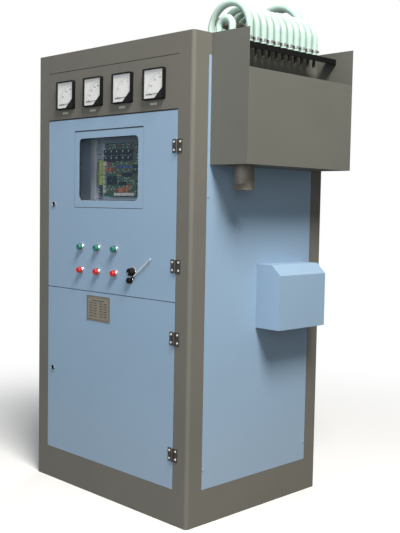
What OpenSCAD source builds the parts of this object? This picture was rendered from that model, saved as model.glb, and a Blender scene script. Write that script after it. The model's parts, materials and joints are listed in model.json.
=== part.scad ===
// Supply cabinet of an induction heating machine, with its water return hopper.
// Millimetres. The origin is the centre of the floor bolt pattern, on the floor.
// +X points to the hopper side, -Y to the doors and +Z up.

/* [Cabinet] */
// Width over the corner posts
body_w = 1000; // [960:10:1200]
// Depth over the corner posts
body_d = 800; // [780:10:1000]
// Height of the plinth
plinth_h = 100; // [60:5:160]
// Height of the bottom rail above the plinth
rail_h = 40; // [30:1:60]
// Height of the bay behind the lower door
lower_bay_h = 735; // [700:5:900]
// Height of the bay behind the upper door
upper_bay_h = 739; // [720:1:900]
// Height of the meter panel's bay
meter_bay_h = 205; // [170:1:260]
// Height of the bare header
header_h = 81; // [60:1:120]
// Width of a corner post's face
post_w = 80; // [70:1:110]
// Outer radius of the cabinet's corners
corner_r = 15; // [8:1:25]
// Thickness of the frame's steel
frame_t = 3; // [2:0.5:4]
// Thickness of the door and panel sheet
sheet_t = 2; // [1.5:0.5:2.5]
// Depth of a door's folded edge
fold_d = 20; // [16:1:26]
// Gap round a door
door_gap = 1.5; // [1:0.5:3]
// Gap round a fixed panel
panel_gap = 1; // [0.5:0.5:2]

/* [Floor bolts] */
// Distance of the floor bolts from the cabinet's sides
bolt_inset_x = 70; // [60:5:90]
// Distance of the floor bolts from the cabinet's front and back
bolt_inset_y = 70; // [60:5:90]
// Diameter of a floor bolt's hole
bolt_hole_d = 14; // [9:1:20]
// Diameter of a cable entry in the floor
entry_d = 50; // [30:1:60]

/* [Window] */
// Width of the glazed opening
window_w = 388; // [200:2:420]
// Height of the glazed opening
window_h = 262; // [160:2:300]
// Corner radius of the glazed opening
window_r = 22; // [10:1:40]
// Width of the window's frame round the opening
window_border = 32; // [26:1:45]
// Height of the window's centre above the foot of the upper bay
window_rise = 519; // [480:1:540]
// Distance of the window's centre from the middle, to the left
window_shift = 3; // [0:1:20]
// Thickness of the glass
glass_t = 4; // [3:0.5:6]

/* [Meters] */
// Side of a square meter
meter_size = 120; // [96:1:130]
// Distance between meters
meter_pitch = 192; // [140:1:200]
// Depth that a meter stands proud of the panel
meter_proud = 16; // [14:1:24]
// Diameter of a meter's barrel behind the panel
barrel_d = 100; // [80:1:110]
// Turn of a needle from zero to full scale, in degrees
needle_turn = 90; // [60:1:90]

/* [Buttons, knob and lever] */
// Distance between buttons in a row
button_pitch = 114.5; // [60:0.5:130]
// Distance between the two rows
row_pitch = 100; // [60:1:110]
// Distance of the middle button from the middle of the door, to the left
button_shift = 59; // [40:1:90]
// Height between the rows above the foot of the upper bay
button_rise = 138; // [110:1:170]
// Diameter of a button's cap
cap_d = 24; // [18:0.5:26]
// Diameter of a button's chrome bezel
bezel_d = 36; // [30:0.5:40]
// Travel of a button
button_travel = 5; // [2:0.5:5.5]
// Diameter of the power knob
knob_d = 34; // [24:1:40]
// Length of the switch lever from its axis
lever_l = 158; // [80:1:170]
// Diameter of the lever's arm
lever_d = 5; // [4:0.5:8]
// Angle of the lever above the horizontal at rest, in degrees
lever_angle = 37; // [30:1:45]

/* [Hinges and locks] */
// Side of an open hinge
hinge_size = 52; // [40:1:60]
// Diameter of a hinge's knuckle
knuckle_d = 9; // [8:0.5:12]
// Diameter of a hinge pin
pin_d = 5; // [3:0.5:5]
// Distance of a hinge's centre from the end of its door
hinge_inset = 140; // [80:5:200]
// Distance of a lock's axis from the door's free edge
lock_inset = 41; // [34:1:50]
// Diameter of a lock's face
lock_d = 24; // [18:1:28]

/* [Hopper] */
// Distance that the hopper stands out from the cabinet
hopper_w = 190; // [170:5:240]
// Length of the hopper along the cabinet's side
hopper_l = 640; // [600:5:700]
// Height of the hopper's end plates
hopper_h = 495; // [400:5:600]
// Height of the open slot above the hopper's outer wall
mouth_h = 143; // [80:1:180]
// Outer diameter of the drain pipe
drain_d = 76; // [60:1:89]
// Wall of the drain pipe
drain_wall = 4; // [3:0.5:5]
// Length of the drain pipe below the hopper
drain_drop = 94; // [60:1:160]

/* [Hoses] */
// Outer diameter of a return hose
hose_d = 28; // [22:1:30]
// Bore of a return hose
hose_bore = 19; // [14:0.5:20]
// Distance between hoses
hose_pitch = 40; // [36:1:42]
// Number of return hoses that come through the roof
hose_count = 11; // [6:1:11]
// Distance of the hose strip's centre line from the cabinet
strip_reach = 80; // [75:1:95]
// Radius of the first hose's arch
first_arch_r = 102; // [95:1:110]
// Radius of the other hoses' arches
arch_r = 85; // [80:1:92]
// Height of the arches' centres above the roof
arch_rise = 33; // [20:1:60]
// Outer diameter of the supply header
header_pipe_d = 34; // [26:0.5:40]
// Outer diameter of a feed hose
feed_hose_d = 32; // [26:1:34]
// Radius of a feed hose's arch
feed_arch_r = 134; // [125:1:145]

/* [Outlet hood] */
// Distance that the hood stands out from the cabinet
hood_w = 125; // [110:1:180]
// Length of the hood along the cabinet's side
hood_l = 294; // [260:1:360]
// Height of the hood
hood_h = 261; // [220:1:300]
// Height of the hood's slanted upper edge
hood_slant = 41; // [20:1:60]

/* [Power parts] */
// Thickness of a cooling block
block_t = 20; // [14:1:22]
// Side of a cooling block across the stack
block_w = 80; // [76:1:90]
// Height of a cooling block
block_h = 90; // [80:1:110]
// Diameter of a disc thyristor
thyristor_d = 68; // [50:1:72]
// Thickness of an output bar
bar_t = 10; // [6:1:12]
// Width of an output bar
bar_w = 80; // [60:1:100]
// Diameter of a bolt hole in an output bar
bar_hole_d = 13; // [9:1:17]
// Outer diameter of a reactor coil
coil_d = 180; // [170:2:180]
// Height of a reactor coil
coil_h = 200; // [160:5:260]

/* [Hidden] */
$fn = 48;

// Running clearance of a pin, seat clearance between pieces, and overrun of every cut
run_gap = 0.05;
seat_gap = 0.3;
cut = 1;

// Levels of the cabinet
half_w = body_w / 2;
half_d = body_d / 2;
open_w = body_w - 2 * post_w;
side_open = body_d - 2 * post_w;
z_low = plinth_h + rail_h;
z_mid = z_low + lower_bay_h;
z_met = z_mid + upper_bay_h;
z_head = z_met + meter_bay_h;
body_h = z_head + header_h;
door_w = open_w - 2 * door_gap;
bolt_pitch_x = body_w - 2 * bolt_inset_x;
bolt_pitch_y = body_d - 2 * bolt_inset_y;
stop_d = fold_d + 4 * sheet_t / 2;
stop_w = 20;
rail_depth = 20;
cross_rail_h = 30;
foot_w = 110;
foot_t = 8;
flange_w = 45;
screw_inset = 10;
screw_r = 3;
screw_head_r = 5.5;
screw_head_t = 2.5;
louvre_count = 7;
louvre_l = 220;
louvre_pitch = 24;
louvre_slot = 7;
louvre_proud = 6;
entry_pitch = 110;
entry_shift = 250;
entry_inset = 120;
entry_y = -half_d + entry_inset;

// Window
window_gap = 2;
window_lap = 12;
gasket_lap = 8;
gasket_show = 2.5;
gasket_t = 4;
window_x = -window_shift;
window_z = z_mid + window_rise;
window_frame_w = window_w + 2 * window_border;
window_frame_h = window_h + 2 * window_border;

// Meters
meter_z = z_met + meter_bay_h / 2;
meter_rim = 3.5;
meter_step = 1.5;
meter_glass_t = 2;
meter_floor = 6;
dial_t = 1;
dial_size = meter_size - 2 * (meter_rim + meter_step) - 2 * seat_gap;
dial_cut_share = [0.41, 0.35];
pivot_share = [0.33, -0.35];
needle_t = 0.8;
needle_w = 1.6;
needle_l = dial_size * 0.76;
needle_hub_r = 4;
pivot_r = 1.5;
barrel_l = 60;
meter_cover_t = 1.2;
tag_w = 40;
tag_h = 9;
tag_t = 1;
tag_drop = 76;
tag_shift = 8;

// Buttons, knob and lever
button_z = z_mid + button_rise;
housing_proud = 8;
housing_floor = 1;
cap_proud = 14;
cap_dome = 3;
stem_d = 12;
stem_l = 17;
mount_tube_d = 22;
hole_play = 0.15;
nut_t = 3;
nut_r = 15;
block_w_button = 34;
block_l_button = 46;
knob_x = 166;
knob_rise = 102;
knob_l = 19;
knob_ring_d = 44;
knob_ring_t = 3;
knob_shaft_d = 6;
bush_d = 10;
pot_d = 28;
pot_l = 26;
lever_x = 156;
lever_rise = 66;
lever_hub_d = 24;
lever_hub_l = 15;
lever_plate_d = 28;
lever_plate_t = 2;
lever_shaft_d = 8;
lever_bush_d = 14;
switch_w = 44;
switch_l = 50;

// Hinges and locks
hinge_x = half_w - post_w - door_gap / 3;
leaf_t = 2.5;
knuckle_gap = 0.3;
hinge_y = -half_d - knuckle_d / 2 - seat_gap;
leaf_clear = 0.7;
middle_share = 0.36;
pin_over = 1;
hinge_screw_r = 2.2;
hinge_head_r = 4;
hinge_head_t = 1.6;
hinge_screw_l = 9;
hinge_screw_x_share = 0.33;
hinge_screw_z_share = 0.3;
lock_shaft_d = 16;
lock_face_t = 3;
lock_x = -door_w / 2 + lock_inset;
cam_l = 34;
cam_w = 16;
cam_t = 3;
key_slot_l = 12;
key_slot_w = 3;
key_slot_d = 1.5;

// Rating plate
plate_w = 156;
plate_h = 108;
plate_t = 1.2;
plate_x = -55;
plate_drop = 70;
rivet_r = 3;
rivet_t = 1.5;
rivet_inset = 8;

// Hopper and hose strip
hopper_setback = 15;
hopper_x0 = half_w + seat_gap;
hopper_y0 = -side_open / 2 + hopper_setback;
hopper_z0 = body_h - hopper_h;
drain_reach = 95;
drain_inset = 91;
drain_x = half_w + drain_reach;
drain_y = hopper_y0 + drain_inset;
drain_shoulder = 2;
drain_neck = 0.6;
drain_flange_d = 110;
drain_flange_t = 4;
drain_up = 14;
lip_w = 5;
strip_w = 50;
strip_t = 3;
strip_leg = 22;
strip_drop = 29;
strip_hole_r = 7.2;
strip_x = half_w + strip_reach;
strip_z = body_h - strip_drop;

// Hoses
arch_z = body_h + arch_rise;
hose_inset = 119;
first_hose_y = hopper_y0 + hose_inset;
barb_play = 0.25;
barb_r = hose_bore / 2 - barb_play;
barb_l = 20;
collar_r = 12;
collar_t = 5;
tail_r = 7;
tail_l = 45;
clamp_t = 2.2;
clamp_h = 12;
clamp_rise = 8;
roof_play = 1;
hose_end_z = strip_z + collar_t + seat_gap;
bypass_reach = 17;
bypass_x = half_w + bypass_reach;
bypass_r = (strip_x + collar_t - bypass_x) / 2;
bypass_y = hopper_y0 + sheet_t + hose_d / 2 + 3;
bypass_rise = 17;
bypass_drop = 36;
bypass_arch_z = body_h + bypass_rise;
bypass_end_z = body_h - bypass_drop;
bypass_bore_r = 8;
bypass_run = 14;

// Supply header
header_inset = 30;
header_x = half_w - header_inset;
header_rise = 50;
header_bore_r = 8;
header_cap_l = 14;
header_z = body_h + header_rise;
saddle_w = 40;
saddle_l = 24;
saddle_share = [0.1, 0.49, 0.8];
reactor_setback = 116;
reactor_y = half_d - reactor_setback;
feed_y0 = reactor_y - hose_pitch / 2;
header_over = 49;
header_y0 = first_hose_y - header_over;
header_y1 = feed_y0 + hose_pitch + header_over / 2;
feed_bore_share = 0.68;
feed_leg = 12;
feed_x = header_x - 2 * feed_arch_r;
feed_end_z = header_z + header_pipe_d / 2 + seat_gap;

// Outlet hood and output bars
hood_setback = 342;
hood_drop = 120;
hood_y0 = side_open / 2 - hood_setback;
hood_z0 = z_mid - hood_drop;
hood_top_w = 80;
hood_lip = 14;
bar_reach = 100;
bar_rise = 95;
bar_inset = 160;
bar_z0 = hood_z0 + bar_rise;
bar_inner_x = half_w - bar_inset;
bar_hole_pitch = 40;
bar_hole_inset = 30;
insulator_t = 8;
insulator_lap = 16;
wall_open_l = 210;
wall_open_h = 130;

// Stack
stack_inset = 95;
stack_rise = 520;
stack_x = half_w - stack_inset;
stack_z = z_mid + stack_rise;
block_x0 = stack_x - block_w / 2;
block_z0 = stack_z - block_h / 2;
block_z1 = stack_z + block_h / 2;
clamp_plate_t = 12;
tie_r = 5;
tie_out = 8;
tie_over = 14;
tie_nut_r = 9;
tie_nut_t = 8;
clamp_rail_t = 10;
clamp_rail_h = 40;
clamp_rail_x = half_w - stop_d - frame_t - clamp_rail_t;
collar_gap = 2;

// Reactor and breaker
reactor_inset = 370;
reactor_x = half_w - reactor_inset;
limb_w = 60;
limb_pitch = 220;
yoke_h = 60;
core_foot_h = 24;
coil_bore_d = 90;
breaker_l = 260;
breaker_w = 200;
breaker_h = 260;
breaker_inset = 250;
breaker_x = -half_w + breaker_inset;
phase_pitch_count = 2;
phase_w = 30;
phase_t = 5;
phase_inset = 30;
pole_r = 14;
pole_h = 20;

// Control plate
plate_setback = 140;
plate_rise = 325;
plate_drop_top = 22;
plate_play = 2;
plate_y = -half_d + plate_setback;
plate_sheet = 2;
plate_side = half_w - stop_d - 2 * frame_t;
plate_z0 = z_mid + plate_rise;
plate_z1 = z_met - plate_drop_top;
bracket_h = 40;
board_shift = 163;
board_x0 = -board_shift;
board_w = 300;
board_h = 230;
board_t = 1.6;
board_rise = 407;
board_z0 = z_mid + board_rise;
standoff_l = 26;
standoff_r = 4;
standoff_inset = 12;
board_y = plate_y - standoff_l;
duct_w = 38;
duct_d = 40;
duct_h = 330;
duct_shift = 246;
duct_x0 = -duct_shift;
duct_wall = 2;
duct_slot_w = 5;
duct_slot_pitch = 15;
duct_slot_h_share = 0.6;
strip_block_w = 30;
strip_block_d = 34;
strip_block_shift = 34;
strip_block_rise = 49;
strip_block_x0 = board_x0 - strip_block_shift;
strip_block_z0 = board_z0 + strip_block_rise;
strip_block_h = 42;
strip_block_long = 64;
strip_block_gap = 4;
part_d = 18;

// Helpers

module box(x0, x1, y0, y1, z0, z1) {
  translate([x0, y0, z0]) cube([x1 - x0, y1 - y0, z1 - z0]);
}

// Round bar along Y from y0 to y1
module rod_y(x, z, y0, y1, r) {
  translate([x, y0, z]) rotate([-90, 0, 0]) cylinder(h = y1 - y0, r = r);
}

module rod_x(y, z, x0, x1, r) {
  translate([x0, y, z]) rotate([0, 90, 0]) cylinder(h = x1 - x0, r = r);
}

module rod_z(x, y, z0, z1, r) {
  translate([x, y, z0]) cylinder(h = z1 - z0, r = r);
}

module round_rect(w, d, r) {
  square([w - 2 * r, d], center = true);
  square([w, d - 2 * r], center = true);
  for (sx = [-1, 1], sy = [-1, 1])
    translate([sx * (w / 2 - r), sy * (d / 2 - r)]) circle(r);
}

// Upright plate with round corners, centred on x and z, from y0 to y1
module upright_round(x, z, w, h, r, y0, y1) {
  translate([x, y1, z]) rotate([90, 0, 0]) linear_extrude(y1 - y0) round_rect(w, h, r);
}

// Folded tray: a sheet with its edges folded back, face at y = 0
module tray(w, h, d) {
  difference() {
    translate([-w / 2, 0, 0]) cube([w, d, h]);
    translate([-w / 2 + sheet_t, sheet_t, sheet_t])
      cube([w - 2 * sheet_t, d, h - 2 * sheet_t]);
  }
}

module front_tray(z0, z1, gap, d) {
  translate([0, -half_d, z0 + gap]) tray(open_w - 2 * gap, z1 - z0 - 2 * gap, d);
}

// Places

function hose_y(k) = first_hose_y + k * hose_pitch;
function hose_x(k) = strip_x - 2 * (k == 0 ? first_arch_r : arch_r);
function meter_x(i) = (i - 1.5) * meter_pitch;
function button_x(i) = -button_shift + (i - 1) * button_pitch;
function button_row_z(j) = button_z + (0.5 - j) * row_pitch;
upper_hinge_z = [z_mid + hinge_inset, z_met - hinge_inset];
lower_hinge_z = [z_low + hinge_inset, z_mid - hinge_inset];
hinge_z = concat(lower_hinge_z, upper_hinge_z);
panel_screw_z = [z_low + post_w, z_head - post_w];
side_screw_z = [z_low + post_w, hopper_z0 - post_w - clamp_rail_h];
upper_lock_z = (z_mid + z_met) / 2;
lower_lock_z = (z_low + z_mid) / 2;
stop_y = -half_d + stop_d;

// Base and frame

module plinth() {
  color("dimgray") {
    linear_extrude(plinth_h) difference() {
      round_rect(body_w, body_d, corner_r);
      round_rect(body_w - 2 * frame_t, body_d - 2 * frame_t, corner_r - frame_t);
    }
    translate([0, 0, plinth_h - frame_t]) linear_extrude(frame_t) difference() {
      round_rect(body_w, body_d, corner_r);
      square([body_w - 2 * flange_w, body_d - 2 * flange_w], center = true);
    }
    linear_extrude(foot_t) difference() {
      intersection() {
        round_rect(body_w, body_d, corner_r);
        for (sx = [-1, 1], sy = [-1, 1])
          translate([sx * (half_w - foot_w / 2), sy * (half_d - foot_w / 2)])
            square(foot_w, center = true);
      }
      for (sx = [-1, 1], sy = [-1, 1])
        translate([sx * bolt_pitch_x / 2, sy * bolt_pitch_y / 2]) circle(d = bolt_hole_d);
    }
  }
}

module floor_plate() {
  color("gray") translate([0, 0, plinth_h]) linear_extrude(frame_t) difference() {
    union() {
      square([open_w - 2 * (stop_w + seat_gap), body_d - 2 * (frame_t + seat_gap)],
             center = true);
      square([body_w - 2 * (frame_t + seat_gap), side_open - 2 * (stop_w + seat_gap)],
             center = true);
    }
    for (i = [0:2])
      translate([-entry_shift + i * entry_pitch, entry_y]) circle(d = entry_d);
  }
}

// Corner section: two faces, a lip beside each opening and the stop behind it
module post_section() {
  difference() {
    intersection() {
      round_rect(body_w, body_d, corner_r);
      translate([half_w - post_w, half_d - post_w]) square(post_w);
    }
    intersection() {
      round_rect(body_w - 2 * frame_t, body_d - 2 * frame_t, corner_r - frame_t);
      translate([half_w - post_w - cut, half_d - post_w - cut]) square(post_w + cut);
    }
  }
  translate([half_w - post_w, half_d - stop_d - frame_t]) square([frame_t, stop_d + frame_t]);
  translate([half_w - stop_d - frame_t, half_d - post_w]) square([stop_d + frame_t, frame_t]);
  translate([half_w - post_w - stop_w, half_d - stop_d - frame_t])
    square([stop_w + frame_t, frame_t]);
  translate([half_w - stop_d - frame_t, half_d - post_w - stop_w])
    square([frame_t, stop_w + frame_t]);
}

module corner_posts() {
  color("dimgray") difference() {
    translate([0, 0, plinth_h]) linear_extrude(body_h - sheet_t - plinth_h)
      for (mx = [0, 1], my = [0, 1]) mirror([mx, 0, 0]) mirror([0, my, 0]) post_section();
    for (z = hinge_z, s = [-1, 1])
      rod_y(hinge_x + hinge_size * hinge_screw_x_share, z + s * hinge_size * hinge_screw_z_share,
            -half_d - cut, -half_d + frame_t + cut, hinge_screw_r + hole_play);
    for (z = panel_screw_z, sx = [-1, 1])
      rod_y(sx * (open_w / 2 - screw_inset), z, half_d - stop_d - frame_t - cut,
            half_d - stop_d + cut, screw_r + seat_gap);
    for (z = side_screw_z, sx = [-1, 1], sy = [-1, 1])
      rod_x(sy * (side_open / 2 - screw_inset), z,
            sx > 0 ? half_w - stop_d - frame_t - cut : -half_w + stop_d - cut,
            sx > 0 ? half_w - stop_d + cut : -half_w + stop_d + frame_t + cut,
            screw_r + seat_gap);
  }
}

// Section of a rail: u is the depth inwards, v the height; the stop is at the top
module rail_section(h) {
  translate([0, h - frame_t]) square([stop_d + frame_t, frame_t]);
  translate([stop_d, h - frame_t]) square([frame_t, stop_w + frame_t]);
  square([frame_t, h]);
}

// Rail between two posts, centred along X, its face at y = 0: a web of the full length
// and a stop that ends short of the posts' own stops
module rail(len, h) {
  short = len - 2 * (stop_w + seat_gap);
  translate([-short / 2, 0, 0]) rotate([90, 0, 90]) linear_extrude(short) rail_section(h);
  translate([-len / 2, 0, 0]) cube([len, frame_t, h]);
}

module rail_ring(h) {
  for (m = [0, 1]) {
    mirror([0, m, 0]) translate([0, -half_d, 0]) rail(open_w, h);
    mirror([m, 0, 0]) rotate([0, 0, 90]) translate([0, -half_w, 0]) rail(side_open, h);
  }
}

module frame_rails() {
  color("dimgray") difference() {
    union() {
      translate([0, 0, plinth_h]) rail_ring(rail_h);
      difference() {
        translate([0, 0, body_h - sheet_t]) mirror([0, 0, 1]) rail_ring(header_h - sheet_t);
        box(-open_w / 2 - cut, open_w / 2 + cut, -half_d - cut, -half_d + stop_d + stop_w,
            z_head - cut, body_h + cut);
      }
      for (z = [z_mid, z_met, z_head])
        box(-open_w / 2 - frame_t, open_w / 2 + frame_t, stop_y + frame_t,
            stop_y + frame_t + rail_depth, z - cross_rail_h / 2, z + cross_rail_h / 2);
    }
    rod_x(bypass_y, bypass_end_z - bypass_run, half_w - frame_t - cut, half_w + cut,
          bypass_bore_r + seat_gap);
  }
}

module roof_panel() {
  color("dimgray") difference() {
    translate([0, 0, body_h - sheet_t]) linear_extrude(sheet_t)
      round_rect(body_w, body_d, corner_r);
    for (k = [0:hose_count - 1])
      rod_z(hose_x(k), hose_y(k), body_h - sheet_t - cut, body_h + cut, hose_d / 2 + roof_play);
    for (k = [0, 1])
      rod_z(feed_x, feed_y0 + k * hose_pitch, body_h - sheet_t - cut, body_h + cut,
            feed_hose_d / 2 + roof_play);
  }
}

module side_panel_blank() {
  difference() {
    translate([-half_w, 0, z_low + panel_gap]) rotate([0, 0, -90])
      tray(side_open - 2 * panel_gap, z_head - z_low - 2 * panel_gap, stop_d);
    for (z = side_screw_z, sy = [-1, 1])
      rod_x(sy * (side_open / 2 - screw_inset), z, -half_w - cut, -half_w + sheet_t + cut,
            screw_r + seat_gap);
  }
}

module left_side_panel() {
  color("lightsteelblue") side_panel_blank();
}

module right_side_panel() {
  mid_y = hood_y0 + hood_l / 2;
  color("lightsteelblue") difference() {
    mirror([1, 0, 0]) side_panel_blank();
    box(half_w - sheet_t - cut, half_w + cut, mid_y - wall_open_l / 2, mid_y + wall_open_l / 2,
        bar_z0 + bar_w / 2 - wall_open_h / 2, bar_z0 + bar_w / 2 + wall_open_h / 2);
    wall_screw_holes();
  }
}

// Pressed louvre: a slot under a slanted cover
module louvre_cover(z) {
  translate([-louvre_l / 2, half_d, z]) rotate([90, 0, 90]) linear_extrude(louvre_l)
    polygon([[0, louvre_slot], [0, louvre_slot + louvre_proud], [louvre_proud, 0],
             [louvre_proud - sheet_t / 2, 0]]);
}

module rear_panel(z0, z1) {
  top = z1 - post_w;
  difference() {
    translate([0, half_d, z0 + panel_gap]) rotate([0, 0, 180])
      tray(open_w - 2 * panel_gap, z1 - z0 - 2 * panel_gap, stop_d);
    for (z = panel_screw_z, sx = [-1, 1])
      rod_y(sx * (open_w / 2 - screw_inset), z, half_d - sheet_t - cut, half_d + cut,
            screw_r + seat_gap);
    for (i = [0:louvre_count - 1])
      box(-louvre_l / 2, louvre_l / 2, half_d - sheet_t - cut, half_d + cut,
          top - i * louvre_pitch, top - i * louvre_pitch + louvre_slot);
  }
  for (i = [0:louvre_count - 1]) louvre_cover(top - i * louvre_pitch);
}

module rear_panels() {
  color("lightsteelblue") {
    rear_panel(z_low, z_mid);
    rear_panel(z_mid, z_head);
  }
}

// Screws that hold the hopper and the hood on the side panel, as [y, z]
hopper_screw_share = 0.7;
hopper_screws = [for (y = [hopper_y0 + foot_w, hopper_y0 + hopper_screw_share * hopper_l],
                      z = [hopper_z0 + foot_w, body_h - 2 * foot_w]) [y, z]];
hood_screws = [for (y = [hood_y0 + hood_lip / 2, hood_y0 + hood_l - hood_lip / 2],
                    z = [hood_z0 + 2 * hood_lip, hood_z0 + hood_h - 2 * hood_lip]) [y, z]];

module wall_screw_holes() {
  for (p = concat(hopper_screws, hood_screws))
    rod_x(p[0], p[1], half_w - sheet_t - cut, hopper_x0 + sheet_t + cut, hinge_screw_r + seat_gap);
}

module panel_screw() {
  cylinder(h = screw_head_t, r = screw_head_r);
  translate([0, 0, -stop_d - 2 * frame_t]) cylinder(h = stop_d + 2 * frame_t, r = screw_r);
}

module hinge_screw() {
  cylinder(h = hinge_head_t, r = hinge_head_r);
  translate([0, 0, -hinge_screw_l]) cylinder(h = hinge_screw_l, r = hinge_screw_r);
}

module frame_screws() {
  color("silver") {
    for (z = panel_screw_z, sx = [-1, 1])
      translate([sx * (open_w / 2 - screw_inset), half_d, z]) rotate([-90, 0, 0]) panel_screw();
    for (z = side_screw_z, sx = [-1, 1], sy = [-1, 1])
      translate([sx * half_w, sy * (side_open / 2 - screw_inset), z]) rotate([0, sx * 90, 0])
        panel_screw();
    for (z = hinge_z, s = [-1, 1])
      translate([hinge_x + hinge_size * hinge_screw_x_share, -half_d - leaf_t,
                 z + s * hinge_size * hinge_screw_z_share]) rotate([90, 0, 0]) hinge_screw();
    for (p = concat(hopper_screws, hood_screws))
      translate([hopper_x0 + sheet_t, p[0], p[1]]) rotate([0, 90, 0]) hinge_screw();
  }
}

// Front panels

module header_panel() {
  color("dimgray") front_tray(z_head, body_h - sheet_t + panel_gap, panel_gap, stop_d);
}

module meter_panel() {
  color("dimgray") difference() {
    front_tray(z_met, z_head, panel_gap, stop_d);
    for (i = [0:3])
      rod_y(meter_x(i), meter_z, -half_d - cut, -half_d + sheet_t + cut, barrel_d / 2 + cut);
  }
}

// Meters, each drawn round its centre on the panel's face, with y = 0 on the face

module at_meters() {
  for (i = [0:3]) translate([meter_x(i), -half_d, meter_z]) children();
}

pivot = [pivot_share[0] * dial_size, pivot_share[1] * dial_size];
dial_y = -meter_proud + meter_floor + 2 * dial_t;
needle_y = dial_y - dial_t - 2 * needle_t;

module corner_shape(size) {
  polygon([[size / 2, -size / 2], [size / 2, size * (dial_cut_share[1] - 0.5)],
           [size * (0.5 - dial_cut_share[0]), -size / 2]]);
}

module meter_case() {
  pocket = meter_size - 2 * (meter_rim + meter_step);
  difference() {
    union() {
      box(-meter_size / 2, meter_size / 2, -meter_proud, 0, -meter_size / 2, meter_size / 2);
      rod_y(0, 0, -cut, barrel_l, barrel_d / 2);
    }
    box(-meter_size / 2 + meter_rim, meter_size / 2 - meter_rim, -meter_proud - cut,
        -meter_proud + meter_glass_t, -meter_size / 2 + meter_rim, meter_size / 2 - meter_rim);
    box(-pocket / 2, pocket / 2, -meter_proud, dial_y, -pocket / 2, pocket / 2);
    rod_y(pivot[0], pivot[1], dial_y - cut, dial_y + 2 * meter_glass_t, pivot_r + run_gap);
  }
  translate([0, -meter_proud + meter_glass_t + meter_cover_t, 0]) rotate([90, 0, 0])
    linear_extrude(meter_cover_t) corner_shape(pocket);
}

module meter_cases() {
  color("black") at_meters() meter_case();
}

module meter_dials() {
  color("white") at_meters() difference() {
    box(-dial_size / 2, dial_size / 2, dial_y - dial_t, dial_y, -dial_size / 2, dial_size / 2);
    rod_y(pivot[0], pivot[1], dial_y - dial_t - cut, dial_y + cut, 2 * pivot_r);
  }
}

module meter_windows() {
  glass = meter_size - 2 * (meter_rim + seat_gap);
  color("lightcyan", 0.35) at_meters()
    box(-glass / 2, glass / 2, -meter_proud, -meter_proud + meter_glass_t, -glass / 2, glass / 2);
}

module meter_tags() {
  color("white") at_meters()
    box(-tag_shift - tag_w / 2, -tag_shift + tag_w / 2, -tag_t, 0, -tag_drop - tag_h / 2,
        -tag_drop + tag_h / 2);
}

module meter_needle(i) {
  color("black") translate([meter_x(i), -half_d, meter_z]) {
    box(pivot[0] - needle_l, pivot[0] + 2 * needle_hub_r, needle_y, needle_y + needle_t,
        pivot[1] - needle_w / 2, pivot[1] + needle_w / 2);
    rod_y(pivot[0], pivot[1], needle_y, needle_y + needle_t, needle_hub_r);
    rod_y(pivot[0], pivot[1], needle_y, dial_y + meter_glass_t, pivot_r);
  }
}

// Upper door and its window

module hinge_holes(levels) {
  for (z = levels, s = [-1, 1])
    rod_y(hinge_x - hinge_size * hinge_screw_x_share, z + s * hinge_size * hinge_screw_z_share,
          -half_d - cut, -half_d + sheet_t + cut, hinge_screw_r + hole_play);
}

module lock_hole(z) {
  rod_y(lock_x, z, -half_d - cut, -half_d + sheet_t + cut, lock_shaft_d / 2 + run_gap);
}

module upper_door() {
  through = -half_d + sheet_t + cut;
  color("lightsteelblue") difference() {
    front_tray(z_mid, z_met, door_gap, fold_d);
    upright_round(window_x, window_z, window_frame_w, window_frame_h, 2 * sheet_t,
                  -half_d - cut, through);
    for (i = [0:2], j = [0, 1])
      rod_y(button_x(i), button_row_z(j), -half_d - cut, through, mount_tube_d / 2 + hole_play);
    rod_y(knob_x, z_mid + knob_rise, -half_d - cut, through, bush_d / 2 + hole_play);
    rod_y(lever_x, z_mid + lever_rise, -half_d - cut, through, lever_bush_d / 2 + hole_play);
    hinge_holes(upper_hinge_z);
    lock_hole(upper_lock_z);
  }
}

module window_frame() {
  color("lightsteelblue") difference() {
    union() {
      upright_round(window_x, window_z, window_frame_w - 2 * window_gap,
                    window_frame_h - 2 * window_gap, 2 * sheet_t, -half_d, -half_d + sheet_t);
      upright_round(window_x, window_z, window_frame_w + 2 * window_lap,
                    window_frame_h + 2 * window_lap, 2 * sheet_t, -half_d + sheet_t,
                    -half_d + 2 * sheet_t);
    }
    upright_round(window_x, window_z, window_w, window_h, window_r, -half_d - cut,
                  -half_d + 2 * sheet_t + cut);
    upright_round(window_x, window_z, window_w + 2 * gasket_lap, window_h + 2 * gasket_lap,
                  window_r + gasket_lap, -half_d + sheet_t, -half_d + 2 * sheet_t + cut);
  }
}

module window_gasket() {
  y0 = -half_d + sheet_t;
  lap = gasket_lap - seat_gap;
  color("black") difference() {
    upright_round(window_x, window_z, window_w + 2 * lap, window_h + 2 * lap, window_r + lap,
                  y0, y0 + gasket_t);
    upright_round(window_x, window_z, window_w - 2 * gasket_show, window_h - 2 * gasket_show,
                  window_r - gasket_show, y0 - cut, y0 + gasket_t + cut);
  }
}

module window_pane() {
  y0 = -half_d + sheet_t + gasket_t;
  color("lightcyan", 0.3)
    upright_round(window_x, window_z, window_w + 2 * gasket_lap, window_h + 2 * gasket_lap,
                  window_r + gasket_lap, y0, y0 + glass_t);
}

// Hinges

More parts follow.
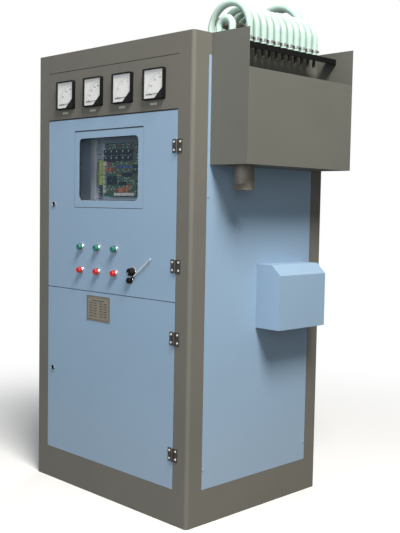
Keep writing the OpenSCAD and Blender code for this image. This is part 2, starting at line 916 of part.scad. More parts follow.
// Leaf with its side at s = -1 on the door or s = 1 on the post, drawn round z = 0
module leaf(s, knuckles) {
  inner = knuckle_d / 2 + leaf_clear;
  far = hinge_size / 2;
  difference() {
    union() {
      box(min(s * inner, s * far), max(s * inner, s * far), -half_d - leaf_t, -half_d,
          -far, far);
      for (k = knuckles) {
        box(min(0, s * (inner + cut)), max(0, s * (inner + cut)), -half_d - leaf_t,
            -half_d - seat_gap, k[0], k[1]);
        rod_z(0, hinge_y, k[0], k[1], knuckle_d / 2);
      }
    }
    rod_z(0, hinge_y, -far - cut, far + cut, pin_d / 2 + run_gap);
    for (t = [-1, 1])
      rod_y(s * hinge_size * hinge_screw_x_share, t * hinge_size * hinge_screw_z_share,
            -half_d - leaf_t - cut, -half_d + cut, hinge_screw_r + hole_play);
  }
}

mid_half = hinge_size * middle_share / 2;

module hinge_frame_leaves() {
  color("silver") for (z = hinge_z)
    translate([hinge_x, 0, z])
      leaf(1, [[-hinge_size / 2, -mid_half - knuckle_gap], [mid_half + knuckle_gap, hinge_size / 2]]);
}

module hinge_pins() {
  color("silver") for (z = hinge_z) {
    rod_z(hinge_x, hinge_y, z - hinge_size / 2 - pin_over, z + hinge_size / 2 + pin_over, pin_d / 2);
    rod_z(hinge_x, hinge_y, z + hinge_size / 2, z + hinge_size / 2 + 2 * pin_over,
          (pin_d + knuckle_d) / 4);
  }
}

module door_hinges(levels) {
  for (z = levels) translate([hinge_x, 0, z]) {
    leaf(-1, [[-mid_half, mid_half]]);
    for (s = [-1, 1])
      translate([-hinge_size * hinge_screw_x_share, -half_d - leaf_t,
                 s * hinge_size * hinge_screw_z_share]) rotate([90, 0, 0]) hinge_screw();
  }
}

module upper_door_hinges() {
  color("silver") door_hinges(upper_hinge_z);
}

// Buttons, knob, lever and locks

module button_housing(x, z) {
  difference() {
    union() {
      rod_y(x, z, -half_d - housing_proud, -half_d, bezel_d / 2);
      rod_y(x, z, -half_d - cut / 2, -half_d + stem_l, mount_tube_d / 2);
      rod_y(x, z, -half_d + sheet_t, -half_d + sheet_t + nut_t, nut_r);
      box(x - block_w_button / 2, x + block_w_button / 2, -half_d + sheet_t + nut_t,
          -half_d + sheet_t + nut_t + block_l_button, z - block_w_button / 2,
          z + block_w_button / 2);
    }
    rod_y(x, z, -half_d - housing_proud - cut, -half_d - housing_floor, cap_d / 2 + 2 * seat_gap);
    rod_y(x, z, -half_d - housing_proud, -half_d + stem_l + button_travel, stem_d / 2 + hole_play);
  }
}

module button_housings() {
  color("silver") for (i = [0:2], j = [0, 1]) button_housing(button_x(i), button_row_z(j));
}

// Cap with a domed face and a stem
module button_cap(i, j) {
  back = -half_d - housing_floor - button_travel - seat_gap;
  front = -half_d - housing_proud - cap_proud;
  translate([button_x(i), back, button_row_z(j)]) rotate([90, 0, 0]) rotate_extrude() {
    square([cap_d / 2, back - front - cap_dome]);
    square([cap_d / 2 - cap_dome, back - front]);
    translate([cap_d / 2 - cap_dome, back - front - cap_dome]) intersection() {
      circle(cap_dome);
      square(cap_dome);
    }
  }
  rod_y(button_x(i), button_row_z(j), back - cut, -half_d + stem_l - 2 * sheet_t, stem_d / 2);
}

module rotary_bodies() {
  kz = z_mid + knob_rise;
  lz = z_mid + lever_rise;
  y_in = -half_d + sheet_t;
  color("silver") {
    difference() {
      union() {
        rod_y(knob_x, kz, -half_d - knob_ring_t, -half_d, knob_ring_d / 2);
        rod_y(knob_x, kz, -half_d - cut, y_in + nut_t + cut, bush_d / 2);
        rod_y(knob_x, kz, y_in, y_in + nut_t, bush_d);
        rod_y(knob_x, kz, y_in + nut_t, y_in + nut_t + pot_l, pot_d / 2);
      }
      rod_y(knob_x, kz, -half_d - knob_ring_t - cut, y_in + pot_l / 2, knob_shaft_d / 2 + run_gap);
    }
    difference() {
      union() {
        rod_y(lever_x, lz, -half_d - lever_plate_t, -half_d, lever_plate_d / 2);
        rod_y(lever_x, lz, -half_d - cut, y_in + nut_t + cut, lever_bush_d / 2);
        box(lever_x - switch_w / 2, lever_x + switch_w / 2, y_in + nut_t, y_in + nut_t + switch_l,
            lz - switch_w / 2, lz + switch_w / 2);
        rod_y(lever_x, lz, y_in, y_in + nut_t, lever_bush_d);
      }
      rod_y(lever_x, lz, -half_d - lever_plate_t - cut, y_in + switch_l / 2,
            lever_shaft_d / 2 + run_gap);
    }
  }
}

module power_knob() {
  kz = z_mid + knob_rise;
  y1 = -half_d - knob_ring_t - seat_gap;
  color("black") {
    translate([knob_x, y1, kz]) rotate([90, 0, 0]) rotate_extrude() {
      square([knob_d / 2, knob_l - cap_dome]);
      square([knob_d / 2 - cap_dome, knob_l]);
      translate([knob_d / 2 - cap_dome, knob_l - cap_dome]) intersection() {
        circle(cap_dome);
        square(cap_dome);
      }
    }
    rod_y(knob_x, kz, y1 - cut, -half_d + sheet_t + pot_l / 2 - cut, knob_shaft_d / 2);
  }
}

module switch_lever() {
  lz = z_mid + lever_rise;
  y1 = -half_d - lever_plate_t - seat_gap;
  color("silver") {
    rod_y(lever_x, lz, y1 - lever_hub_l, y1, lever_hub_d / 2);
    rod_y(lever_x, lz, y1 - cut, -half_d + sheet_t + switch_l / 2 - cut, lever_shaft_d / 2);
    translate([lever_x, y1 - lever_d, lz]) rotate([0, 90 - lever_angle, 0])
      cylinder(h = lever_l, d = lever_d);
  }
}

// Cam lock, released: the cam hangs down inside the door
module lock(z) {
  cam_y = stop_y + frame_t + seat_gap;
  color("silver") difference() {
    union() {
      rod_y(lock_x, z, -half_d - seat_gap - lock_face_t, -half_d - seat_gap, lock_d / 2);
      rod_y(lock_x, z, -half_d - seat_gap - cut, cam_y + cam_t, lock_shaft_d / 2);
      box(lock_x - cam_w / 2, lock_x + cam_w / 2, cam_y, cam_y + cam_t, z - cam_l, z);
    }
    box(lock_x - key_slot_l / 2, lock_x + key_slot_l / 2, -half_d - seat_gap - lock_face_t - cut,
        -half_d - seat_gap - lock_face_t + key_slot_d, z - key_slot_w / 2, z + key_slot_w / 2);
  }
}

// Lower door, its rating plate with rivets, and its hinge leaves

module rating_plate() {
  pz = z_mid - plate_drop;
  color("silver") {
  box(plate_x - plate_w / 2, plate_x + plate_w / 2, -half_d - plate_t, -half_d,
      pz - plate_h / 2, pz + plate_h / 2);
  for (sx = [-1, 1], sz = [-1, 1])
    rod_y(plate_x + sx * (plate_w / 2 - rivet_inset), pz + sz * (plate_h / 2 - rivet_inset),
          -half_d - plate_t - rivet_t, -half_d - plate_t, rivet_r);
  }
}

module lower_door_hinges() {
  color("silver") door_hinges(lower_hinge_z);
}

module lower_door() {
  color("lightsteelblue") difference() {
    front_tray(z_low, z_mid, door_gap, fold_d);
    hinge_holes(lower_hinge_z);
    lock_hole(lower_lock_z);
  }
}

// Hopper, drain and hose strip

module return_hopper() {
  x1 = half_w + hopper_w;
  y1 = hopper_y0 + hopper_l;
  front_z = body_h - mouth_h;
  color("dimgray") difference() {
    union() {
      box(hopper_x0, hopper_x0 + sheet_t, hopper_y0, y1, hopper_z0, body_h);
      box(hopper_x0, x1, hopper_y0, hopper_y0 + sheet_t, hopper_z0, body_h);
      box(hopper_x0, x1, y1 - sheet_t, y1, hopper_z0, body_h);
      box(x1 - sheet_t, x1, hopper_y0, y1, hopper_z0, front_z);
      box(hopper_x0, x1, hopper_y0, y1, hopper_z0, hopper_z0 + sheet_t);
      box(x1 - lip_w, x1, hopper_y0, y1, front_z - sheet_t, front_z);
    }
    rod_z(drain_x, drain_y, hopper_z0 - cut, hopper_z0 + sheet_t + cut, drain_d / 2 + seat_gap);
    rod_x(bypass_y, bypass_end_z - bypass_run, hopper_x0 - cut, hopper_x0 + sheet_t + cut,
          bypass_bore_r + seat_gap);
    wall_screw_holes();
  }
}

module drain_pipe() {
  floor_z = hopper_z0 + sheet_t;
  color("tan") difference() {
    union() {
      rod_z(drain_x, drain_y, hopper_z0 - drain_drop, hopper_z0 - drain_shoulder, drain_d / 2);
      rod_z(drain_x, drain_y, hopper_z0 - drain_drop, floor_z + drain_up,
            drain_d / 2 - drain_neck);
      rod_z(drain_x, drain_y, floor_z, floor_z + drain_flange_t, drain_flange_d / 2);
    }
    rod_z(drain_x, drain_y, hopper_z0 - drain_drop - cut, floor_z + drain_up + cut,
          drain_d / 2 - drain_wall);
  }
}

module hose_strip() {
  y0 = hopper_y0 + sheet_t;
  y1 = hopper_y0 + hopper_l - sheet_t;
  color("black") difference() {
    union() {
      box(strip_x - strip_w / 2, strip_x + strip_w / 2, y0, y1, strip_z - strip_t, strip_z);
      box(strip_x + strip_w / 2 - strip_t, strip_x + strip_w / 2, y0, y1,
          strip_z - strip_leg, strip_z);
    }
    for (k = [-2:hose_count + 1])
      rod_z(strip_x, hose_y(k), strip_z - strip_t - cut, strip_z + cut, strip_hole_r);
    rod_z(bypass_x + 2 * bypass_r, bypass_y, strip_z - strip_t - cut, strip_z + cut, strip_hole_r);
  }
}

// Nozzle: barb in the hose, collar on the strip and tail under it
module nozzle(x, y) {
  rod_z(x, y, strip_z, strip_z + collar_t, collar_r);
  rod_z(x, y, strip_z + collar_t - cut, strip_z + collar_t + barb_l, barb_r);
  rod_z(x, y, strip_z - tail_l, strip_z + cut, tail_r);
}

module hose_fittings() {
  color("goldenrod") {
    for (k = [0:hose_count - 1]) nozzle(strip_x, hose_y(k));
    nozzle(bypass_x + 2 * bypass_r, bypass_y);
    rod_z(bypass_x, bypass_y, bypass_end_z - collar_t, bypass_end_z - seat_gap, collar_r);
    rod_z(bypass_x, bypass_y, bypass_end_z - collar_t - bypass_run, bypass_end_z - collar_t + barb_l,
          bypass_bore_r);
    rod_x(bypass_y, bypass_end_z - bypass_run, half_w - post_w / 4, bypass_x, bypass_bore_r);
    rod_x(bypass_y, bypass_end_z - bypass_run, half_w - post_w / 4, half_w - frame_t - seat_gap,
          collar_r);
  }
  color("silver") {
    for (k = [0:hose_count - 1]) clamp(strip_x, hose_y(k), hose_end_z + clamp_rise, hose_d);
    clamp(bypass_x + 2 * bypass_r, bypass_y, hose_end_z + clamp_rise, hose_d);
    for (k = [0, 1])
      clamp(header_x, feed_y0 + k * hose_pitch, feed_end_z + seat_gap, feed_hose_d);
  }
}

module clamp(x, y, z, d) {
  difference() {
    rod_z(x, y, z, z + clamp_h, d / 2 + clamp_t);
    rod_z(x, y, z - cut, z + clamp_h + cut, d / 2 + run_gap);
  }
}

// Tube bent in a half circle over x0..x1 with straight legs down to z0 and z1
module arched_hose(x0, x1, y, z_bend, z0, z1, d, bore) {
  r = (x1 - x0) / 2;
  translate([(x0 + x1) / 2, y, z_bend]) rotate([90, 0, 0]) rotate_extrude(angle = 180, $fn = 96)
    translate([r, 0]) difference() {
      circle(d = d, $fn = 32);
      circle(d = bore, $fn = 32);
    }
  for (leg = [[x0, z0], [x1, z1]])
    translate([leg[0], y, leg[1]]) linear_extrude(z_bend - leg[1]) difference() {
      circle(d = d);
      circle(d = bore);
    }
}

module water_hoses() {
  coil_top = reactor_z0 + yoke_h + coil_h + collar_gap;
  color("paleturquoise") {
    for (k = [0:hose_count - 1])
      arched_hose(hose_x(k), strip_x, hose_y(k), arch_z, block_z1 + collar_t + collar_gap,
                  hose_end_z, hose_d, hose_bore);
    arched_hose(bypass_x, bypass_x + 2 * bypass_r, bypass_y, bypass_arch_z, bypass_end_z,
                hose_end_z, hose_d, hose_bore);
    for (k = [0, 1])
      arched_hose(feed_x, header_x, feed_y0 + k * hose_pitch, feed_end_z + feed_leg, coil_top,
                  feed_end_z, feed_hose_d, feed_hose_d * feed_bore_share);
  }
}

// Supply header on its saddles, and the two feed hoses

module supply_header() {
  r = header_pipe_d / 2;
  color("tan") difference() {
    union() {
      rod_y(header_x, header_z, header_y0, header_y1, r);
      rod_y(header_x, header_z, header_y0 - header_cap_l / 2, header_y0 + header_cap_l / 2,
            r + drain_wall / 2);
      for (p = [for (q = saddle_share) header_y0 + q * (header_y1 - header_y0)])
        box(header_x - saddle_w / 2, header_x + saddle_w / 4, p, p + saddle_l, body_h, header_z);
      for (k = [0, 1])
        rod_z(header_x, feed_y0 + k * hose_pitch, header_z, feed_end_z + feed_leg,
              feed_hose_d * feed_bore_share / 2 - barb_play);
    }
    rod_y(header_x, header_z, header_y0 + header_cap_l, header_y1 - drain_wall, r - drain_wall);
    rod_y(header_x, header_z, header_y0 - header_cap_l, header_y0 + 2 * header_cap_l,
          header_bore_r);
    for (k = [0, 1])
      rod_z(header_x, feed_y0 + k * hose_pitch, header_z, feed_end_z + feed_leg + cut,
            header_bore_r);
  }
}

// Outlet hood, output bars and their insulator

module hood_section(w, h, slant, top_w) {
  polygon([[0, 0], [w, 0], [w, h - slant], [top_w, h], [0, h]]);
}

module side_hood() {
  color("lightsteelblue") {
    translate([hopper_x0, hood_y0, hood_z0]) difference() {
      translate([0, hood_l, 0]) rotate([90, 0, 0]) linear_extrude(hood_l)
        hood_section(hood_w, hood_h, hood_slant, hood_top_w);
      translate([-cut, hood_l - sheet_t, -cut]) rotate([90, 0, 0])
        linear_extrude(hood_l - 2 * sheet_t)
          hood_section(hood_w + cut - sheet_t, hood_h + cut - sheet_t, hood_slant,
                       hood_top_w + cut - sheet_t / 2);
    }
    difference() {
      for (y = [hood_y0, hood_y0 + hood_l - hood_lip])
        box(hopper_x0, hopper_x0 + sheet_t, y, y + hood_lip, hood_z0, hood_z0 + hood_h);
      wall_screw_holes();
    }
  }
}

function bar_block(i) = i == 0 ? 6 : 9;

module output_bar(y) {
  x1 = half_w + bar_reach;
  difference() {
    union() {
      box(bar_inner_x, x1, y - bar_t / 2, y + bar_t / 2, bar_z0, bar_z0 + bar_w);
      box(bar_inner_x, bar_inner_x + bar_w, y - bar_t / 2, y + bar_t / 2, bar_z0, block_z0);
    }
    for (s = [-1, 1])
      rod_y(x1 - bar_hole_inset, bar_z0 + bar_w / 2 + s * bar_hole_pitch / 2,
            y - bar_t / 2 - cut, y + bar_t / 2 + cut, bar_hole_d / 2);
  }
}

module busbars() {
  color("peru") {
    for (i = [0, 1]) output_bar(min(hose_y(bar_block(i)), hood_y0 + hood_l - 4 * bar_t));
    for (i = [0:2]) {
      y = hose_y(1 + phase_pitch_count * i);
      box(breaker_x - phase_w / 2, breaker_x + phase_w / 2, y - phase_t / 2, y + phase_t / 2,
          plinth_h + frame_t + breaker_h + pole_h, block_z1);
      box(breaker_x - phase_w / 2, block_x0, y - phase_t / 2, y + phase_t / 2,
          block_z1 - phase_w, block_z1);
    }
  }
}

module bar_insulator() {
  mid_y = hood_y0 + hood_l / 2;
  mid_z = bar_z0 + bar_w / 2;
  x1 = half_w - sheet_t;
  color("saddlebrown") difference() {
    box(x1 - insulator_t, x1, mid_y - wall_open_l / 2 - insulator_lap,
        mid_y + wall_open_l / 2 + insulator_lap, mid_z - wall_open_h / 2 - insulator_lap,
        mid_z + wall_open_h / 2 + insulator_lap);
    for (i = [0, 1]) {
      y = min(hose_y(bar_block(i)), hood_y0 + hood_l - 4 * bar_t);
      box(x1 - insulator_t - cut, x1 + cut, y - bar_t / 2 - seat_gap, y + bar_t / 2 + seat_gap,
          bar_z0 - seat_gap, bar_z0 + bar_w + seat_gap);
    }
  }
}

// Stack of cooling blocks and disc thyristors, clamped along Y

module cooling_blocks() {
  color("peru") for (k = [0:hose_count - 1]) {
    box(block_x0, block_x0 + block_w, hose_y(k) - block_t / 2, hose_y(k) + block_t / 2,
        block_z0, block_z1);
    rod_z(hose_x(k), hose_y(k), block_z1 - cut, block_z1 + collar_t, block_t / 2);
    rod_z(hose_x(k), hose_y(k), block_z1, block_z1 + collar_t + barb_l, barb_r);
  }
}

module thyristors() {
  color("whitesmoke") for (k = [0:hose_count - 2])
    rod_y(stack_x, stack_z, hose_y(k) + block_t / 2, hose_y(k + 1) - block_t / 2, thyristor_d / 2);
}

module stack_clamp() {
  y0 = hose_y(0) - block_t / 2;
  y1 = hose_y(hose_count - 1) + block_t / 2;
  tie_x = [block_x0 - tie_out, block_x0 + block_w + tie_out];
  color("gray") {
    box(clamp_rail_x, clamp_rail_x + clamp_rail_t, -side_open / 2, side_open / 2,
        block_z0 - clamp_rail_h, block_z0);
    for (y = [y0 - clamp_plate_t, y1])
      box(tie_x[0] - 2 * tie_r, clamp_rail_x, y, y + clamp_plate_t, block_z0 - clamp_rail_h, block_z1);
    for (x = tie_x) {
      rod_y(x, stack_z, y0 - tie_over, y1 + tie_over, tie_r);
      for (y = [y0 - clamp_plate_t - tie_nut_t, y1 + clamp_plate_t])
        rod_y(x, stack_z, y, y + tie_nut_t, tie_nut_r);
    }
  }
}

// Smoothing reactor and main breaker on the floor plate

reactor_z0 = plinth_h + frame_t + core_foot_h;

module reactor_core() {
  x0 = reactor_x - limb_pitch - limb_w / 2;
  x1 = reactor_x + limb_w / 2;
  y0 = reactor_y - limb_w / 2;
  y1 = reactor_y + limb_w / 2;
  top = reactor_z0 + yoke_h + coil_h + 2 * seat_gap;
  color("darkslategray") {
    box(x0, x1, y0, y1, reactor_z0, reactor_z0 + yoke_h);
    box(x0, x1, y0, y1, top, top + yoke_h);
    for (i = [0, 1])
      box(reactor_x - i * limb_pitch - limb_w / 2, reactor_x - i * limb_pitch + limb_w / 2,
          y0, y1, reactor_z0, top + yoke_h);
    for (i = [0, 1])
      box(reactor_x - i * limb_pitch - limb_w / 2, reactor_x - i * limb_pitch + limb_w / 2,
          y0 - limb_w / 2, y1 + limb_w / 3, plinth_h + frame_t, reactor_z0);
  }
}

module reactor_coils() {
  z0 = reactor_z0 + yoke_h + seat_gap;
  color("peru") {
    for (i = [0, 1]) difference() {
      rod_z(reactor_x - i * limb_pitch, reactor_y, z0, z0 + coil_h, coil_d / 2);
      rod_z(reactor_x - i * limb_pitch, reactor_y, z0 - cut, z0 + coil_h + cut, coil_bore_d / 2);
    }
    for (k = [0, 1])
      rod_z(feed_x, feed_y0 + k * hose_pitch, z0 + coil_h - cut, z0 + coil_h + barb_l,
            feed_hose_d * feed_bore_share / 2 - barb_play);
  }
}

module main_breaker() {
  z0 = plinth_h + frame_t;
  y0 = hose_y(1) - phase_inset - cross_rail_h / 2;
  color("darkslategray") {
    box(breaker_x - breaker_w / 2, breaker_x + breaker_w / 2, y0, y0 + breaker_l, z0, z0 + breaker_h);
    for (i = [0:2])
      rod_z(breaker_x, hose_y(1 + phase_pitch_count * i), z0 + breaker_h - cut,
            z0 + breaker_h + pole_h, pole_r);
  }
}

// Control plate behind the window

module mounting_plate() {
  x_out = plate_side + frame_t;
  color("lightslategray") {
    difference() {
      box(-x_out, x_out, plate_y, plate_y + plate_sheet, plate_z0, plate_z1);
      box(clamp_rail_x - plate_play, x_out + cut, plate_y - cut, plate_y + plate_sheet + cut,
          block_z0 - clamp_rail_h - plate_play, block_z0 + plate_play);
    }
    for (s = [-1, 1], z = [plate_z0, plate_z1 - bracket_h])
      box(min(s * plate_side, s * x_out), max(s * plate_side, s * x_out),
          -side_open / 2, plate_y + plate_sheet, z, z + bracket_h);
  }
}

module control_board() {
  color("seagreen") {
    box(board_x0, board_x0 + board_w, board_y - board_t, board_y, board_z0, board_z0 + board_h);
    for (x = [board_x0 + standoff_inset, board_x0 + board_w - standoff_inset],
         z = [board_z0 + standoff_inset, board_z0 + board_h - standoff_inset])
      rod_y(x, z, board_y - cut, plate_y, standoff_r);
  }
}

// Places of the parts on the board, as shares of its width and height
small_share = [[0.06, 0.66], [0.18, 0.66], [0.06, 0.78], [0.18, 0.78], [0.30, 0.66],
               [0.30, 0.78], [0.44, 0.70], [0.56, 0.70]];
tall_share = [[0.10, 0.30], [0.22, 0.30], [0.40, 0.24], [0.72, 0.52]];
round_share = [[0.52, 0.40], [0.62, 0.40], [0.16, 0.50], [0.84, 0.30], [0.84, 0.16]];
part_w_share = 0.08;
tall_w_share = 0.07;
tall_h_share = 0.16;
round_r_share = 0.028;

module board_parts() {
  y1 = board_y - board_t;
  color("dimgray") {
    for (p = small_share)
      box(board_x0 + p[0] * board_w, board_x0 + (p[0] + part_w_share) * board_w, y1 - part_d, y1,
          board_z0 + p[1] * board_h, board_z0 + (p[1] + part_w_share) * board_h);
    for (p = tall_share)
      box(board_x0 + p[0] * board_w, board_x0 + (p[0] + tall_w_share) * board_w,
          y1 - 1.5 * part_d, y1, board_z0 + p[1] * board_h,
          board_z0 + (p[1] + tall_h_share) * board_h);
    for (p = round_share)
      rod_y(board_x0 + p[0] * board_w, board_z0 + p[1] * board_h, y1 - 1.5 * part_d, y1,
            round_r_share * board_w);
  }
}

module wiring_duct() {
  z0 = plate_z0 + standoff_inset;
  slots = floor((duct_h - duct_slot_pitch) / duct_slot_pitch);
  difference() {
    box(duct_x0, duct_x0 + duct_w, plate_y - duct_d, plate_y, z0, z0 + duct_h);
    box(duct_x0 + duct_wall, duct_x0 + duct_w - duct_wall, plate_y - duct_d + duct_wall,
        plate_y - duct_wall, z0 - cut, z0 + duct_h + cut);
    for (i = [1:slots])
      box(duct_x0 + duct_w - duct_wall - cut, duct_x0 + duct_w + cut,
          plate_y - duct_d * duct_slot_h_share, plate_y - 2 * duct_wall,
          z0 + i * duct_slot_pitch, z0 + i * duct_slot_pitch + duct_slot_w);
  }
}

module plate_wiring() {
  z1 = strip_block_z0 + strip_block_h + strip_block_gap;
  color("lightgray") wiring_duct();
  color("yellowgreen") {
    box(strip_block_x0, strip_block_x0 + strip_block_w, plate_y - strip_block_d, plate_y,
        strip_block_z0, strip_block_z0 + strip_block_h);
    box(strip_block_x0, strip_block_x0 + strip_block_w, plate_y - strip_block_d, plate_y,
        z1, z1 + strip_block_long);
  }
}

plinth();
floor_plate();
corner_posts();
frame_rails();
roof_panel();
left_side_panel();
right_side_panel();
rear_panels();
frame_screws();
header_panel();
meter_panel();
meter_cases();
meter_dials();
meter_windows();
meter_tags();
meter_needle(0);  // meter_needle_1
meter_needle(1);  // meter_needle_2
meter_needle(2);  // meter_needle_3
meter_needle(3);  // meter_needle_4
hinge_frame_leaves();
hinge_pins();
return_hopper();
drain_pipe();
hose_strip();
hose_fittings();
water_hoses();
supply_header();
side_hood();
busbars();
bar_insulator();
mounting_plate();
control_board();
board_parts();
plate_wiring();
main_breaker();
cooling_blocks();
thyristors();
stack_clamp();
reactor_core();
reactor_coils();
upper_door();
window_frame();
window_gasket();
window_pane();
upper_door_hinges();
button_housings();
rotary_bodies();
color("seagreen") button_cap(0, 0);  // green_button_1
color("seagreen") button_cap(1, 0);  // green_button_2
color("seagreen") button_cap(2, 0);  // green_button_3
color("crimson") button_cap(0, 1);  // red_button_1
color("crimson") button_cap(1, 1);  // red_button_2
color("crimson") button_cap(2, 1);  // red_button_3
power_knob();
switch_lever();
lock(upper_lock_z);  // upper_lock
lower_door();
lower_door_hinges();
rating_plate();
lock(lower_lock_z);  // lower_lock
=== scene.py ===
"""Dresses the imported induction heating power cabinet.

The scene is in metres in the row frame: the origin is the centre of the floor bolts, +X points
to the hopper, -Y out of the doors and +Z up. The sub-assemblies' classes hold millimetres.
"""
import json
import logging
import math
from dataclasses import dataclass, field
from enum import Enum
from typing import Optional, Sequence

import bmesh
import bpy
import numpy as np
from mathutils import Matrix, Vector

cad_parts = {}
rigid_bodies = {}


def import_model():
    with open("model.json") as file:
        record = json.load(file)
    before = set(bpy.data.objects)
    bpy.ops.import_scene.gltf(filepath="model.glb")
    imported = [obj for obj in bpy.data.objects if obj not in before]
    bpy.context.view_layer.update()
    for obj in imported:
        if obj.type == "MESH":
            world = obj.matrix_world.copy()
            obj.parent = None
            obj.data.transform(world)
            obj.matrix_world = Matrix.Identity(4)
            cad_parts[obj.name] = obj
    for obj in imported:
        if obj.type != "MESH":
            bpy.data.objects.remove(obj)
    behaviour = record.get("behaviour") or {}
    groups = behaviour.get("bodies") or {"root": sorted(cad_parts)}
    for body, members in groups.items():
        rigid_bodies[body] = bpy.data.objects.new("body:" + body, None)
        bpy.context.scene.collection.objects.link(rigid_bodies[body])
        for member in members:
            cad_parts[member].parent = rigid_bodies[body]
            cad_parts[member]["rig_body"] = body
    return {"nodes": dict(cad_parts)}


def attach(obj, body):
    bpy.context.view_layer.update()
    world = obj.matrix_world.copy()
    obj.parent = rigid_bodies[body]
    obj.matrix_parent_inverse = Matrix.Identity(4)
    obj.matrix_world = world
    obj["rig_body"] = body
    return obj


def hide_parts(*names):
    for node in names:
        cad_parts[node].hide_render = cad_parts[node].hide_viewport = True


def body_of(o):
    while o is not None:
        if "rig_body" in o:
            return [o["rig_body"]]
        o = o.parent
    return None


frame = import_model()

LOG = logging.getLogger("cabinet")
MM = 0.001
FRONT = -400.0
CABINET = "cabinet"
UPPER_DOOR = "upper_door_body"
LOWER_DOOR = "lower_door_body"
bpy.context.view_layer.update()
WHITE = (1.0, 1.0, 1.0, 1.0)

Colour = tuple[float, float, float]
Profile = tuple[tuple[float, float], ...]
Place = tuple[float, float, float]
Faces = list[np.ndarray]


class Axis(Enum):
    """The direction that a turned piece's height runs in."""

    OUT = (0.0, -1.0, 0.0)
    BACK = (0.0, 1.0, 0.0)
    UP = (0.0, 0.0, 1.0)
    RIGHT = (1.0, 0.0, 0.0)


# Shader nodes


def fill_in(node: bpy.types.Node, values: dict) -> None:
    """Sets the values of a node's unlinked inputs, by name or number."""
    for socket, value in values.items():
        node.inputs[socket].default_value = value


def add_node(tree: bpy.types.NodeTree, kind: str, values: Optional[dict] = None,
             **settings: object) -> bpy.types.Node:
    """Adds a shader node.

    Args:
        tree: the nodes that it joins.
        kind: its type, without the ShaderNode in front.
        values: the values of its unlinked inputs.
        settings: its own settings.

    Returns:
        The node.
    """
    node = tree.nodes.new("ShaderNode" + kind)
    for name, value in settings.items():
        setattr(node, name, value)
    fill_in(node, values or {})
    return node


# Finishes


@dataclass(frozen=True)
class Finish:
    """One surface finish, made from noise on Object coordinates.

    color is linear. mottle is the share by which broad patches differ, grain the height of the
    fine bump in millimetres and dust the share of pale dust near the floor, which thins out up to
    dust_height, in metres.
    """

    name: str
    color: Colour
    roughness: float = 0.5
    metallic: float = 0.0
    mottle: float = 0.06
    mottle_scale: float = 5.0
    grain: float = 0.05
    grain_scale: float = 700.0
    rough_spread: float = 0.08
    dust: float = 0.0
    dust_height: float = 0.45
    dust_color: Colour = (0.42, 0.39, 0.34)
    stretch: tuple[float, float, float] = (1.0, 1.0, 1.0)
    alpha: float = 1.0
    subsurface: float = 0.0
    coat: float = 0.0
    specular: float = 0.5

    def material(self) -> bpy.types.Material:
        """The material of this finish, made once.

        Returns:
            The node-based material.
        """
        title = "finish_" + self.name
        known = bpy.data.materials.get(title)
        if known is not None:
            return known
        mat = bpy.data.materials.new(title)
        mat.use_nodes = True
        tree = mat.node_tree
        join = tree.links.new
        shader = tree.nodes["Principled BSDF"]
        coords = add_node(tree, "TexCoord")
        mapping = add_node(tree, "Mapping", {"Scale": self.stretch})
        join(coords.outputs["Object"], mapping.inputs["Vector"])
        broad = add_node(tree, "TexNoise", {"Scale": self.mottle_scale, "Detail": 4.0})
        fine = add_node(tree, "TexNoise", {"Scale": self.grain_scale, "Detail": 2.0})
        for noise in (broad, fine):
            join(mapping.outputs["Vector"], noise.inputs["Vector"])
        tint = add_node(tree, "Mix", {6: self._shade(-self.mottle), 7: self._shade(self.mottle)},
                        data_type="RGBA")
        join(broad.outputs["Fac"], tint.inputs[0])
        colour = tint.outputs[2]
        if self.dust > 0.0:
            colour = self._dusted(tree, coords, broad, colour)
        join(colour, shader.inputs["Base Color"])
        rough = add_node(tree, "MapRange", {
            "From Min": 0.3, "From Max": 0.7,
            "To Min": max(0.02, self.roughness - self.rough_spread),
            "To Max": min(1.0, self.roughness + self.rough_spread)})
        join(broad.outputs["Fac"], rough.inputs["Value"])
        join(rough.outputs["Result"], shader.inputs["Roughness"])
        bump = add_node(tree, "Bump", {"Strength": 0.6, "Distance": self.grain * MM})
        join(fine.outputs["Fac"], bump.inputs["Height"])
        join(bump.outputs["Normal"], shader.inputs["Normal"])
        fill_in(shader, {
            "Metallic": self.metallic, "Alpha": self.alpha, "Coat Weight": self.coat,
            "Specular IOR Level": self.specular, "Subsurface Weight": self.subsurface,
            "Subsurface Scale": 0.008, "Subsurface Radius": (0.7, 1.0, 0.85)})
        return mat

    def _shade(self, share: float) -> tuple[float, float, float, float]:
        """The finish's colour, lighter by a share, as a socket's value."""
        red, green, blue = (min(1.0, c * (1.0 + share)) for c in self.color)
        return red, green, blue, 1.0

    def _dusted(self, tree: bpy.types.NodeTree, coords: bpy.types.Node, broad: bpy.types.Node,
                colour: bpy.types.NodeSocket) -> bpy.types.NodeSocket:
        """Mixes pale dust into a colour, more of it near the floor.

        Args:
            tree: the material's nodes.
            coords: the texture coordinate node.
            broad: the noise that breaks up the dust's edge.
            colour: the colour to dust.

        Returns:
            The mixed colour.
        """
        join = tree.links.new
        split = add_node(tree, "SeparateXYZ")
        join(coords.outputs["Object"], split.inputs["Vector"])
        height = add_node(tree, "MapRange", {"From Min": self.dust_height, "From Max": 0.0,
                                             "To Max": self.dust},
                          interpolation_type="SMOOTHSTEP")
        join(split.outputs["Z"], height.inputs["Value"])
        lift = add_node(tree, "MapRange", {"To Min": 0.6, "To Max": 1.4})
        join(broad.outputs["Fac"], lift.inputs["Value"])
        patchy = add_node(tree, "Math", operation="MULTIPLY")
        join(height.outputs["Result"], patchy.inputs[0])
        join(lift.outputs["Result"], patchy.inputs[1])
        mixed = add_node(tree, "Mix", {7: (*self.dust_color, 1.0)}, data_type="RGBA")
        join(patchy.outputs["Value"], mixed.inputs[0])
        join(colour, mixed.inputs[6])
        return mixed.outputs[2]


